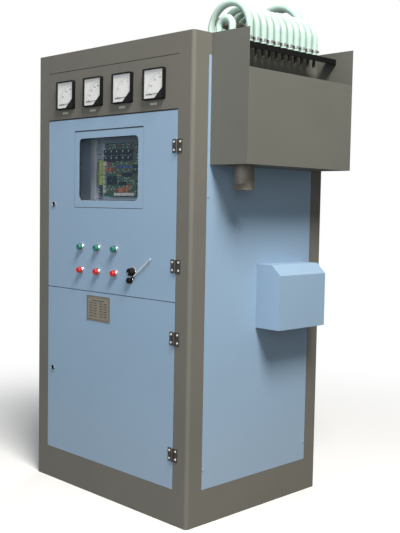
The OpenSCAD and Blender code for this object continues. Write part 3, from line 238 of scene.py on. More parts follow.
FRAME_PAINT = Finish("frame_paint", (0.134, 0.129, 0.112), 0.56, mottle=0.07, dust=0.05,
                     specular=0.3)
HOPPER_PAINT = Finish("hopper_paint", (0.122, 0.124, 0.108), 0.56, mottle=0.08,
                      mottle_scale=3.5, specular=0.3)
DOOR_PAINT = Finish("door_paint", (0.245, 0.355, 0.480), 0.46, mottle=0.035, mottle_scale=2.5,
                    dust=0.12, dust_height=0.7)
# Far paler than the plate's own paint: painted light for the light that reaches the mounting plate
# through the window.
PLATE_PAINT_AND_PAINTED_LIGHT = Finish("plate_paint", (0.56, 0.64, 0.76), 0.55)
ZINC = Finish("zinc", (0.48, 0.47, 0.44), 0.38, metallic=0.9, mottle=0.14, mottle_scale=60.0)
HINGE_STEEL = Finish("hinge_steel", (0.085, 0.078, 0.070), 0.44, metallic=0.6, mottle=0.25,
                     mottle_scale=90.0, grain=0.08, grain_scale=500.0)
CHROME = Finish("chrome", (0.74, 0.74, 0.75), 0.14, metallic=1.0, mottle=0.03, grain=0.004)
BAND = Finish("clamp_band", (0.46, 0.48, 0.47), 0.32, metallic=0.8, mottle=0.05)
BRIGHT = Finish("bright", (0.86, 0.86, 0.84), 0.30, metallic=0.35, mottle=0.04, grain=0.006)
STEEL = Finish("steel", (0.26, 0.26, 0.25), 0.36, metallic=0.9, mottle=0.10, mottle_scale=30.0)
# Dull and dark: partly the brass's own dull tone, partly painted shade for nozzles that sit in
# shade under the hose strip.
BRASS = Finish("brass", (0.155, 0.145, 0.120), 0.42, metallic=0.8, mottle=0.16, mottle_scale=40.0)
COPPER = Finish("copper", (0.62, 0.30, 0.17), 0.34, metallic=0.95, mottle=0.16,
                mottle_scale=22.0)
PIPE_ZINC = Finish("pipe_zinc", (0.165, 0.150, 0.122), 0.56, metallic=0.3, mottle=0.28,
                   mottle_scale=26.0, grain=0.15, grain_scale=260.0)
BLACK_PLASTIC = Finish("black_plastic", (0.006, 0.006, 0.006), 0.50, mottle=0.10,
                       specular=0.12)
BLACK_STEEL = Finish("black_steel", (0.005, 0.005, 0.005), 0.52, mottle=0.18,
                     mottle_scale=30.0, specular=0.15)
RUBBER = Finish("rubber", (0.010, 0.010, 0.010), 0.62, mottle=0.08, grain=0.06)
DIAL_WHITE = Finish("dial_white", (0.74, 0.74, 0.73), 0.6, mottle=0.015, grain=0.004,
                    specular=0.2)
TAG_WHITE = Finish("tag_white", (0.40, 0.38, 0.33), 0.5, mottle=0.05)
MARK_BLACK = Finish("mark_black", (0.015, 0.015, 0.015), 0.6, mottle=0.05, grain=0.004)
GLASS = Finish("glass", (0.30, 0.33, 0.33), 0.04, mottle=0.02, grain=0.001, rough_spread=0.01,
               alpha=0.03)
# The pane's faint blue veil is painted light: it lifts the dim interior seen through the window.
PANE = Finish("pane", (0.11, 0.18, 0.26), 0.04, mottle=0.02, grain=0.001, rough_spread=0.01,
              alpha=0.085)
PLATE_PRINT = Finish("plate_print", (0.235, 0.215, 0.170), 0.5, mottle=0.06, mottle_scale=30.0)
PLATE_METAL = Finish("plate_metal", (0.20, 0.185, 0.155), 0.42, metallic=0.3, mottle=0.06,
                     stretch=(1.0, 1.0, 12.0), grain=0.01)
HOSE = Finish("hose", (0.44, 0.60, 0.53), 0.18, mottle=0.12, mottle_scale=9.0, grain=0.03,
              grain_scale=160.0, subsurface=0.20, coat=0.6)
GREEN_CAP = Finish("green_cap", (0.012, 0.150, 0.115), 0.28, mottle=0.05, grain=0.006, coat=0.3)
RED_CAP = Finish("red_cap", (0.520, 0.020, 0.018), 0.28, mottle=0.05, grain=0.006, coat=0.3)
BOARD_GREEN = Finish("board_green", (0.020, 0.135, 0.062), 0.36, mottle=0.22, mottle_scale=70.0,
                     grain=0.04, grain_scale=420.0)
PART_ORANGE = Finish("part_orange", (0.48, 0.16, 0.05), 0.45, mottle=0.10)
PART_BROWN = Finish("part_brown", (0.20, 0.09, 0.045), 0.45, mottle=0.20, mottle_scale=300.0)
PART_WHITE = Finish("part_white", (0.62, 0.62, 0.58), 0.5, mottle=0.05)
PART_BLUE = Finish("part_blue", (0.04, 0.10, 0.36), 0.4, mottle=0.06)
DUCT_GREY = Finish("duct_grey", (0.70, 0.76, 0.84), 0.55, mottle=0.05)
TERMINAL_GREEN = Finish("terminal_green", (0.50, 0.62, 0.12), 0.5, mottle=0.10)
WIRE_RED = Finish("wire_red", (0.42, 0.03, 0.03), 0.4, mottle=0.05)
WIRE_YELLOW = Finish("wire_yellow", (0.55, 0.42, 0.05), 0.4, mottle=0.05)
CERAMIC = Finish("ceramic", (0.70, 0.68, 0.62), 0.22, mottle=0.04, grain=0.01, coat=0.4)
CORE_STEEL = Finish("core_steel", (0.040, 0.042, 0.048), 0.45, metallic=0.3, mottle=0.30,
                    mottle_scale=9.0, stretch=(1.0, 30.0, 1.0), grain=0.3, grain_scale=24.0)
LAMINATE = Finish("laminate", (0.20, 0.060, 0.028), 0.45, mottle=0.12, mottle_scale=18.0)


# Meshes

MERGE = 2e-6
FLAT_MERGE = 1e-6
FLAT_ANGLE = 0.003
SHARP_ANGLE = 0.6
COPY_SHARP_ANGLE = 0.7
TEXT_SIZE = 1.4
TEXT_RISE = 0.04
TEXT_LIFT = 0.05


def round_edges(obj: bpy.types.Object, width: float, angle: float) -> None:
    """Rounds an object's sharp edges.

    Args:
        obj: the object.
        width: the rounding's width, in millimetres.
        angle: the angle past which an edge is sharp, in radians.
    """
    edge = obj.modifiers.new("edge", "BEVEL")
    edge.width = width * MM
    edge.segments = 2
    edge.limit_method = "ANGLE"
    edge.angle_limit = angle


def place(name: str, data: bpy.types.ID) -> bpy.types.Object:
    """Puts a mesh, camera or lamp into the scene as an object at the origin.

    Args:
        name: the object's name.
        data: the mesh, camera or lamp.

    Returns:
        The object.
    """
    obj = bpy.data.objects.new(name, data)
    bpy.context.scene.collection.objects.link(obj)
    return obj


@dataclass
class Shape:
    """Vertices and faces of one mesh, gathered as whole arrays in millimetres."""

    points: list[np.ndarray] = field(default_factory=list)
    faces: list[list[int]] = field(default_factory=list)
    count: int = 0

    def add(self, points: np.ndarray, faces: Faces) -> "Shape":
        """Adds a closed surface.

        Args:
            points: its vertices, n by 3, in millimetres.
            faces: arrays of vertex numbers, one row a face.

        Returns:
            This shape.
        """
        self.points.append(np.asarray(points, float).reshape(-1, 3))
        for rows in faces:
            self.faces.extend((np.atleast_2d(rows) + self.count).tolist())
        self.count += len(self.points[-1])
        return self

    def piece(self, name: str, finish: Finish, body: str, slot: str, replaces: Sequence[str] = (),
              bevel: float = 0.0, smooth: bool = True) -> bpy.types.Object:
        """Makes the Blender object, merged at its seams and poles, facing outwards.

        Args:
            name: the piece's name.
            finish: what it is finished with.
            body: the CAD body that it rides on.
            slot: the record's material slot; not used.
            replaces: the CAD nodes that it stands for.
            bevel: width of the rounding of its sharp edges, in millimetres.
            smooth: whether its curved faces are shaded smooth.

        Returns:
            The object.
        """
        mesh = bpy.data.meshes.new(name)
        mesh.from_pydata((np.concatenate(self.points) * MM).tolist(), [], self.faces)
        work = bmesh.new()
        work.from_mesh(mesh)
        bmesh.ops.remove_doubles(work, verts=work.verts, dist=MERGE)
        bmesh.ops.dissolve_degenerate(work, edges=work.edges, dist=FLAT_MERGE)
        bmesh.ops.recalc_face_normals(work, faces=work.faces)
        for edge in work.edges:
            edge.smooth = not (edge.is_manifold and edge.calc_face_angle(0.0) > SHARP_ANGLE)
        work.to_mesh(mesh)
        work.free()
        obj = place(name, mesh)
        mesh.materials.append(finish.material())
        mesh.polygons.foreach_set("use_smooth", [smooth] * len(mesh.polygons))
        if bevel > 0.0:
            round_edges(obj, bevel, SHARP_ANGLE)
        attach(obj, body)
        if replaces:
            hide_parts(*replaces)
        LOG.info("%s: %d faces on %s", name, len(mesh.polygons), body)
        return obj


def grid_faces(rows: int, cols: int, close_rows: bool, close_cols: bool) -> np.ndarray:
    """Quads between the neighbours of a grid of rows by cols vertices.

    Args:
        rows: number of rows.
        cols: number of vertices in a row.
        close_rows: whether the last row joins the first.
        close_cols: whether each row is a ring.

    Returns:
        The quads, n by 4.
    """
    a, b = np.meshgrid(np.arange(rows if close_rows else rows - 1),
                       np.arange(cols if close_cols else cols - 1), indexing="ij")
    c, d = (a + 1) % rows, (b + 1) % cols
    return np.stack([a * cols + b, a * cols + d, c * cols + d, c * cols + b], -1).reshape(-1, 4)


def block(lo: Sequence[float], hi: Sequence[float]) -> tuple[np.ndarray, Faces]:
    """A box: each of its eight corners takes every coordinate from one of two opposite corners.

    Args:
        lo: one corner.
        hi: the corner opposite.

    Returns:
        Its vertices and faces.
    """
    lo, hi = np.minimum(lo, hi), np.maximum(lo, hi)
    pick = np.indices((2, 2, 2)).reshape(3, 8)[::-1].T
    quads = np.array([[0, 2, 3, 1], [4, 5, 7, 6], [0, 1, 5, 4], [2, 6, 7, 3], [0, 4, 6, 2],
                      [1, 3, 7, 5]])
    return np.where(pick == 1, hi, lo), [quads]


def turned(profile: Sequence[Sequence[float]], centre: Sequence[float], axis: Axis,
           segments: int = 40, ring: bool = False) -> tuple[np.ndarray, Faces]:
    """A surface of revolution: radius and height of each profile point, carried round the axis.

    Args:
        profile: (radius, height) pairs. They start and end on the axis unless ring is set.
        centre: the point where the height is zero.
        axis: the direction of height.
        segments: number of steps round.
        ring: whether the profile is a closed loop.

    Returns:
        The surface's vertices and faces.
    """
    prof = np.asarray(profile, float)
    up = np.array(axis.value)
    one = np.array((1.0, 0.0, 0.0)) if abs(up[0]) < 0.5 else np.array((0.0, 1.0, 0.0))
    two = np.cross(up, one)
    turn = np.linspace(0.0, 2.0 * math.pi, segments, endpoint=False)
    spoke = np.outer(np.cos(turn), one) + np.outer(np.sin(turn), two)
    pts = prof[:, 0, None, None] * spoke + prof[:, 1, None, None] * up + np.asarray(centre, float)
    return pts, [grid_faces(len(prof), segments, ring, True)]


def ringed(path: np.ndarray, one: np.ndarray, two: np.ndarray, radius: float,
           sides: int) -> tuple[np.ndarray, Faces]:
    """A circle carried along a path in the plane of two given directions, with flat ends.

    Args:
        path: the points that it follows, n by 3.
        one: the circle's first direction at each point.
        two: its second direction at each point.
        radius: its radius.
        sides: number of sides.

    Returns:
        Its vertices and faces.
    """
    turn = np.linspace(0.0, 2.0 * math.pi, sides, endpoint=False)
    pts = (path[:, None] + radius * (np.cos(turn)[None, :, None] * one[:, None]
                                     + np.sin(turn)[None, :, None] * two[:, None]))
    last = (len(path) - 1) * sides
    return pts, [grid_faces(len(path), sides, False, True), np.arange(sides)[None, ::-1],
                 np.arange(last, last + sides)[None]]


def tube(path: np.ndarray, radius: float, sides: int = 16) -> tuple[np.ndarray, Faces]:
    """A circle carried along a path, square to it, with flat ends.

    The circle's first direction is square to the path and to one fixed direction, so it doesn't
    twist on a path that keeps clear of that direction.

    Args:
        path: the points that it follows, n by 3.
        radius: its radius.
        sides: number of sides.

    Returns:
        Its vertices and faces.
    """
    path = np.asarray(path, float)
    along = np.gradient(path, axis=0)
    along /= np.linalg.norm(along, axis=1, keepdims=True)
    spread = np.abs(along).max(axis=0)
    fixed = np.eye(3)[int(np.argmin(spread))]
    one = np.cross(along, fixed)
    one /= np.linalg.norm(one, axis=1, keepdims=True)
    return ringed(path, one, np.cross(along, one), radius, sides)


def round_rect(width: float, height: float, radius: float,
               steps: int = 6) -> tuple[np.ndarray, np.ndarray]:
    """The outline of a rectangle with round corners, and its outward directions.

    Each corner is a quarter circle about its own centre, in steps equal turns.

    Args:
        width: its width along X.
        height: its height along Z.
        radius: its corners' radius.
        steps: steps in a corner.

    Returns:
        Points and outward unit vectors, both n by 2.
    """
    turn = np.linspace(0.0, math.pi / 2, steps + 1)
    turns = (turn[None] + np.arange(4)[:, None] * math.pi / 2)
    out = np.stack([np.cos(turns), np.sin(turns)], -1)
    signs = np.array([[1, 1], [-1, 1], [-1, -1], [1, -1]])
    hubs = signs * (np.array([width, height]) / 2 - radius)
    return (hubs[:, None] + radius * out).reshape(-1, 2), out.reshape(-1, 2)


def framed(outline: tuple[np.ndarray, np.ndarray], profile: Sequence[Sequence[float]],
           centre: Sequence[float], ring: bool) -> tuple[np.ndarray, Faces]:
    """A profile of (inset, y) pairs carried round an upright outline.

    Args:
        outline: points and outward directions from round_rect.
        profile: how far inside the outline, and the y of each point.
        centre: (x, z) of the outline's middle.
        ring: whether the profile is a closed loop. Otherwise both ends are capped.

    Returns:
        The surface's vertices and faces.
    """
    at, out = outline
    prof = np.asarray(profile, float)
    flat = at[None] - prof[:, 0, None, None] * out[None] + np.asarray(centre, float)
    depth = np.broadcast_to(prof[:, 1, None], flat.shape[:2])
    pts = np.stack([flat[..., 0], depth, flat[..., 1]], -1)
    n = len(at)
    faces: Faces = [grid_faces(len(prof), n, ring, True)]
    if not ring:
        last = (len(prof) - 1) * n
        faces += [np.arange(n)[None, ::-1], np.arange(last, last + n)[None]]
    return pts, faces


def slab(outline: Sequence[Sequence[float]], y0: float, y1: float) -> tuple[np.ndarray, Faces]:
    """An upright plate with a given outline.

    Args:
        outline: its (x, z) points.
        y0: its one face.
        y1: its other face.

    Returns:
        Its vertices and faces.
    """
    at = np.asarray(outline, float)
    n = len(at)
    pts = np.concatenate([np.stack([at[:, 0], np.full(n, y), at[:, 1]], -1) for y in (y0, y1)])
    return pts, [grid_faces(2, n, False, True), np.arange(n)[None], np.arange(n, 2 * n)[None, ::-1]]


def moved(outline: Profile, x: float, z: float) -> list[tuple[float, float]]:
    """An outline moved to a place."""
    return [(x + across, z + up) for across, up in outline]


def square(side: float, x: float, z: float) -> list[tuple[float, float]]:
    """The outline of a square about its middle."""
    h = side / 2
    return moved(((-h, -h), (h, -h), (h, h), (-h, h)), x, z)


def strip(middle: np.ndarray, along: np.ndarray, start: float, end: float,
          half: float) -> list[np.ndarray]:
    """The outline of a straight strip that points away from a middle.

    Args:
        middle: (x, z) of the point.
        along: the unit direction of the strip.
        start: how far from the middle it starts.
        end: how far from the middle it ends.
        half: half its width.

    Returns:
        Its four corners.
    """
    n = half * np.array([along[1], -along[0]])
    return [middle + start * along - n, middle + end * along - n, middle + end * along + n,
            middle + start * along + n]


def threaded(radius: float, groove: float, heights: np.ndarray) -> list[tuple[float, float]]:
    """A thread's profile: every second height lies deeper by the groove."""
    return [(radius - groove * (i % 2), h) for i, h in enumerate(heights)]


def numerals(text: str, height: float, x: float, y: float, z: float) -> tuple[np.ndarray, Faces]:
    """Plain numbers as thin raised marks on an upright face, centred on x and z.

    Args:
        text: the digits.
        height: the digits' height.
        x: where their middle is.
        y: the face that they stand on.
        z: the height of their middle.

    Returns:
        The marks' vertices and faces.
    """
    curve = bpy.data.curves.new("numerals", "FONT")
    curve.body = text
    curve.size = height * TEXT_SIZE
    curve.align_x = "CENTER"
    curve.align_y = "CENTER"
    curve.resolution_u = 2
    curve.extrude = TEXT_RISE
    holder = bpy.data.objects.new("numerals", curve)
    mesh = holder.to_mesh()
    flat = np.empty(len(mesh.vertices) * 3)
    mesh.vertices.foreach_get("co", flat)
    flat = flat.reshape(-1, 3)
    faces = [np.array([list(p.vertices)]) for p in mesh.polygons]
    pts = np.stack([x + flat[:, 0], y - TEXT_LIFT - flat[:, 2], z + flat[:, 1]], -1)
    holder.to_mesh_clear()
    bpy.data.objects.remove(holder)
    bpy.data.curves.remove(curve)
    return pts, faces


def dress(finish: Finish, slot: str, *nodes: str, bevel: float = 0.0) -> None:
    """Gives CAD nodes a finish; with a bevel, a merged copy with soft edges takes their place.

    Args:
        finish: the finish.
        slot: the record's slot.
        nodes: the nodes' names.
        bevel: width of the rounding of their sharp edges, in millimetres.
    """
    for name in nodes:
        obj = frame["nodes"][name]
        if bevel > 0.0:
            soften(obj, name, finish, bevel)
        obj.data.materials.clear()
        obj.data.materials.append(finish.material())
        LOG.info("%s is finished as %s", name, slot)


def soften(source: bpy.types.Object, name: str, finish: Finish,
           bevel: float) -> None:
    """Replaces a CAD solid by a copy with flat faces made of its triangles and rounded edges.

    Args:
        source: the CAD node's object.
        name: the node's name.
        finish: the finish.
        bevel: width of the rounding, in millimetres.
    """
    mesh = bpy.data.meshes.new(name + "_soft")
    work = bmesh.new()
    work.from_mesh(source.data)
    work.transform(source.matrix_world)
    bmesh.ops.remove_doubles(work, verts=work.verts, dist=FLAT_MERGE)
    bmesh.ops.dissolve_degenerate(work, edges=work.edges, dist=FLAT_MERGE)
    bmesh.ops.dissolve_limit(work, angle_limit=FLAT_ANGLE, verts=work.verts, edges=work.edges)
    work.to_mesh(mesh)
    work.free()
    obj = place(name + "_soft", mesh)
    mesh.materials.clear()
    mesh.materials.append(finish.material())
    mesh.polygons.foreach_set("material_index", [0] * len(mesh.polygons))
    mesh.polygons.foreach_set("use_smooth", [False] * len(mesh.polygons))
    round_edges(obj, bevel, COPY_SHARP_ANGLE)
    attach(obj, body_of(source)[0])
    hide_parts(name)


# Sub-assemblies


@dataclass
class Enclosure:
    """Frame, panels, doors, hood and hopper: their solids are right, so they get paint.

    The hinge leaves get screw heads, and the upper door gets a thin black strip along its top edge
    as painted shade for the gap over it.
    """

    door_half: float = 418.5
    door_top: float = 1612.5
    # Size of a thin black strip on the upper door's top edge: painted shade for the dark gap over
    # the door.
    shade_strip_rise: float = 0.9
    shade_strip_drop: float = 2.6
    shade_strip_proud: float = 0.6
    shade_strip_depth: float = 1.2
    hinge_x: float = 419.5
    upper_hinges: tuple[float, ...] = (1015.0, 1474.0)
    lower_hinges: tuple[float, ...] = (280.0, 735.0)
    screw_reach: float = 17.16
    screw_rise: float = 15.6
    screw_head: Profile = ((0, 4.6), (3.4, 4.6), (4.3, 3.9), (4.3, 2.6), (0, 2.6))

    def build(self) -> None:
        """Paints the sheet metal and finishes what is screwed to it."""
        dress(FRAME_PAINT, "frame_paint", "plinth", "corner_posts", "frame_rails", "roof_panel")
        dress(FRAME_PAINT, "frame_paint", "header_panel", "meter_panel", bevel=0.6)
        dress(DOOR_PAINT, "panel_paint", "left_side_panel", "right_side_panel", "rear_panels",
              "side_hood", "upper_door", "window_frame", "lower_door", bevel=0.6)
        dress(HOPPER_PAINT, "hopper_paint", "return_hopper", bevel=0.7)
        dress(ZINC, "galvanised", "floor_plate", "hinge_pins")
        dress(DOOR_PAINT, "galvanised", "frame_screws")
        dress(HINGE_STEEL, "galvanised", "hinge_frame_leaves", "upper_door_hinges",
              "lower_door_hinges", bevel=0.5)
        dress(BLACK_STEEL, "bright_steel", "upper_lock", "lower_lock")
        self._screw_heads()
        self._head_painted_shade()
        dress(BLACK_STEEL, "strip_black", "hose_strip", bevel=0.5)
        dress(PIPE_ZINC, "drain_galvanised", "supply_header")

    def _screw_heads(self) -> None:
        """A bright domed cap on each hinge screw, two to a leaf, on the body of that leaf."""
        for body, side, levels in ((CABINET, 1, self.lower_hinges + self.upper_hinges),
                                   (UPPER_DOOR, -1, self.upper_hinges),
                                   (LOWER_DOOR, -1, self.lower_hinges)):
            x = self.hinge_x + side * self.screw_reach
            heads = Shape()
            for z in levels:
                for s in (-1, 1):
                    heads.add(*turned(self.screw_head, (x, FRONT, z + s * self.screw_rise),
                                      Axis.OUT, 16))
            heads.piece("hinge_screw_heads_" + body, BRIGHT, body, "galvanised")

    def _head_painted_shade(self) -> None:
        """A thin black strip on the front of the upper door's top edge: painted shade for the dark
        gap line over the door.
        """
        # Painted shade: this black strip darkens the gap line above the upper door.
        lo = (-self.door_half, FRONT - self.shade_strip_proud, self.door_top - self.shade_strip_drop)
        hi = (self.door_half, FRONT + self.shade_strip_depth, self.door_top + self.shade_strip_rise)
        Shape().add(*block(lo, hi)).piece("door_head_painted_shade", RUBBER, UPPER_DOOR, "gasket_rubber",
                                          bevel=0.3)


@dataclass
class Meters:
    """The four square panel meters.

    Depths are counted out from the panel's face, apart from the rim's, which are counted back.
    """

    size: float = 120.0
    corner: float = 5.5
    pitch: float = 192.0
    z: float = 1716.5
    dial: float = 109.4
    card_front: float = 9.0
    card_back: float = 8.0
    ink: float = 0.1
    pivot: tuple[float, float] = (36.1, -38.29)
    scales: tuple[tuple[str, ...], ...] = (
        ("0", "200", "400", "600"), ("0", "100", "200", "300", "400"),
        ("0", "1", "2", "3"), ("0", "250", "500", "750"))
    rim: Profile = ((0, 0), (0, -15), (0.3, -15.7), (1, -16), (2.8, -16), (3.3, -15.8),
                    (3.5, -15.3), (3.5, -14), (5, -14), (5, -8))
    cover: Profile = ((55, -55), (55, -16.5), (9.9, -55))
    cover_front: float = 14.0
    cover_back: float = 12.8
    barrel: Profile = ((0, 1), (0, -60), (46, -60), (48, -58), (48, 1))
    zero_screw: Profile = ((0, 0), (0, 0.6), (3.2, 0.6), (3.8, 0.2), (3.8, -0.6), (0, -0.6))
    screw_seat: float = 14.0
    blade: Profile = ((9, -1.6), (9, 1.6), (0, 1), (-60, 0.8), (-83, 0.25), (-83, -0.25),
                      (-60, -0.8), (0, -1))
    blade_front: float = 10.6
    blade_back: float = 9.9
    boss: Profile = ((0, 11.2), (3, 11.2), (4, 10.6), (4, 9.8), (1.5, 9.8), (1.5, 6.2), (0, 6.2))
    arc_radii: tuple[float, float] = (77.1, 76.6)
    tick_end: float = 76.8
    long_tick: tuple[float, float] = (70.0, 0.7)
    short_tick: tuple[float, float] = (73.0, 0.35)
    number_radius: float = 61.0
    number_height: float = 7.5
    zero_lift: float = 3.5
    dash: tuple[float, float] = (3.0, 4.0)
    dash_corner: tuple[float, float] = (-44.0, -42.5)
    dash_pitch: float = 4.6
    dashes: int = 8

    def build(self) -> None:
        """Makes the cases, dials, scales, needles and their zero screws."""
        cases, cards, marks, screws = Shape(), Shape(), Shape(), Shape()
        for i, numbers in enumerate(self.scales):
            x = (i - (len(self.scales) - 1) / 2) * self.pitch
            hub = (x + self.pivot[0], self.z + self.pivot[1])
            self._case(cases, x)
            cards.add(*slab(square(self.dial, x, self.z), FRONT - self.card_front,
                            FRONT - self.card_back))
            self._scale(marks, hub, numbers)
            self._dashes(marks, x)
            screws.add(*turned(self.zero_screw, (hub[0], FRONT - self.screw_seat, hub[1]),
                               Axis.OUT, 24))
            self._needle(i + 1, hub)
        cases.piece("meter_case_shells", BLACK_PLASTIC, CABINET, "black_plastic",
                    ("meter_cases",))
        cards.piece("dial_cards", DIAL_WHITE, CABINET, "dial_white", ("meter_dials",),
                    smooth=False)
        marks.piece("dial_marks", MARK_BLACK, CABINET, "needle_black", smooth=False)
        screws.piece("zero_screws", BLACK_STEEL, CABINET, "black_plastic")
        dress(GLASS, "clear", "meter_windows", bevel=0.2)
        dress(TAG_WHITE, "tag_white", "meter_tags")

    def _case(self, shape: Shape, x: float) -> None:
        """A case with a rounded rim, a stepped pocket, a corner cover and a barrel.

        Args:
            shape: what it is added to.
            x: the meter's middle.
        """
        rim = [(inset, FRONT + y) for inset, y in self.rim]
        shape.add(*framed(round_rect(self.size, self.size, self.corner, 5), rim, (x, self.z),
                          False))
        shape.add(*slab(moved(self.cover, x, self.z), FRONT - self.cover_front,
                        FRONT - self.cover_back))
        shape.add(*turned(self.barrel, (x, FRONT, self.z), Axis.OUT, 40))

    def _scale(self, shape: Shape, hub: tuple[float, float], numbers: Sequence[str]) -> None:
        """A quarter-circle scale about the needle's pivot, with ticks and plain numbers.

        An arc is a ring between two radii from pointing left to pointing up. A tick is a short
        radial strip.

        Args:
            shape: what it is added to.
            hub: (x, z) of the pivot.
            numbers: what stands at each long tick.
        """
        face = FRONT - self.card_front
        middle = np.array(hub)
        turn = np.linspace(0.0, math.pi / 2, 31)
        arc = np.stack([-np.cos(turn), np.sin(turn)], -1)
        outer, inner = self.arc_radii
        shape.add(*slab(np.concatenate([middle + outer * arc, middle + (inner * arc)[::-1]]),
                        face - self.ink, face))
        steps = (len(numbers) - 1) * 5
        for k in range(steps + 1):
            a = math.pi / 2 * k / steps
            d = np.array([-math.cos(a), math.sin(a)])
            start, half = self.long_tick if k % 5 == 0 else self.short_tick
            shape.add(*slab(strip(middle, d, start, self.tick_end, half), face - self.ink, face))
            if k % 5 == 0:
                lift = self.zero_lift if k == 0 else 0.0
                at = middle + self.number_radius * d + lift * np.array([0.0, 1.0])
                shape.add(*numerals(numbers[k // 5], self.number_height, at[0], face, at[1]))

    def _dashes(self, shape: Shape, x: float) -> None:
        """A row of short dashes at the foot of a dial, where it would carry small print.

        Args:
            shape: what it is added to.
            x: the meter's middle.
        """
        face = FRONT - self.card_front
        z = self.z + self.dash_corner[1]
        for k in range(self.dashes):
            x0 = x + self.dash_corner[0] + self.dash_pitch * k
            shape.add(*block((x0, face - self.ink, z), (x0 + self.dash[0], face,
                                                        z + self.dash[1])))

    def _needle(self, number: int, hub: tuple[float, float]) -> None:
        """A tapered blade with a round boss, on its own body.

        Args:
            number: the meter's number.
            hub: (x, z) of the pivot.
        """
        needle = Shape()
        needle.add(*slab(moved(self.blade, *hub), FRONT - self.blade_front,
                         FRONT - self.blade_back))
        needle.add(*turned(self.boss, (hub[0], FRONT, hub[1]), Axis.OUT, 24))
        needle.piece(f"needle_blade_{number}", MARK_BLACK, f"needle_{number}", "needle_black",
                     (f"meter_needle_{number}",))


@dataclass
class Window:
    """The glazed window of the upper door. Depths are counted back from the door's face."""

    x: float = -3.0
    z: float = 1394.0
    width: float = 388.0
    height: float = 262.0
    radius: float = 22.0
    rubber_width: float = 7.0
    rubber: Profile = ((0, 2), (0, 5.7), (1, 6), (9.4, 6), (9.5, 4), (9.3, 2.6), (8.6, 1.6),
                       (7.4, 1.2), (6.9, 1.4), (6.6, 2))
    groove_reach: float = 31.8
    groove_corner: float = 4.0
    # Section of a black bead in the groove round the frame plate: partly sealant, partly painted
    # shade for the gap.
    bead: Profile = ((0, 1.8), (0, 0.7), (1.6, 0.7), (1.6, 1.8))
    plate_reach: float = 30.0
    # Levels and depths of a black strip over the frame plate: painted shade for the shadow under
    # the door's cut edge.
    top_shade_levels: tuple[float, float] = (0.6, 4.4)
    top_shade_depths: tuple[float, float] = (-1.0, 0.6)

    def build(self) -> None:
        """Makes the rubber, the black bead round the frame plate (partly painted shade for its
        gap), the black strip of painted shade over it, and the glass.
        """
        self._seal("window_rubber", self.rubber_width, self.radius + self.rubber_width, 12,
                   self.rubber, ("window_gasket",))
        # A black bead in the gap round the frame plate: partly sealant, partly painted shade for
        # the gap.
        self._seal("window_frame_bead_and_gap_shade", self.groove_reach, self.groove_corner, 4, self.bead)
        # Painted shade: a black strip over the frame plate stands for the shadow under the door's
        # cut edge.
        reach = self.width / 2 + self.plate_reach
        top = self.z + self.height / 2 + self.plate_reach
        lo, hi = ((self.x + side * reach, FRONT + y, top + z) for side, y, z in
                  zip((-1, 1), self.top_shade_depths, self.top_shade_levels))
        Shape().add(*block(lo, hi)).piece("window_top_painted_shade", RUBBER, UPPER_DOOR,
                                          "gasket_rubber", bevel=0.4)
        # The pane's blue veil is painted light over the dim interior.
        dress(PANE, "clear", "window_pane", bevel=0.2)

    def _seal(self, name: str, reach: float, corner: float, steps: int, section: Profile,
              replaces: Sequence[str] = ()) -> None:
        """A closed rubber ring round the window.

        Args:
            name: the piece's name.
            reach: how far it lies outside the opening.
            corner: its corners' radius.
            steps: steps in a corner.
            section: its section, as insets and depths behind the door's face.
            replaces: the CAD nodes that it stands for.
        """
        outline = round_rect(self.width + 2 * reach, self.height + 2 * reach, corner, steps)
        ring = [(inset, FRONT + depth) for inset, depth in section]
        Shape().add(*framed(outline, ring, (self.x, self.z), True)).piece(
            name, RUBBER, UPPER_DOOR, "gasket_rubber", replaces)


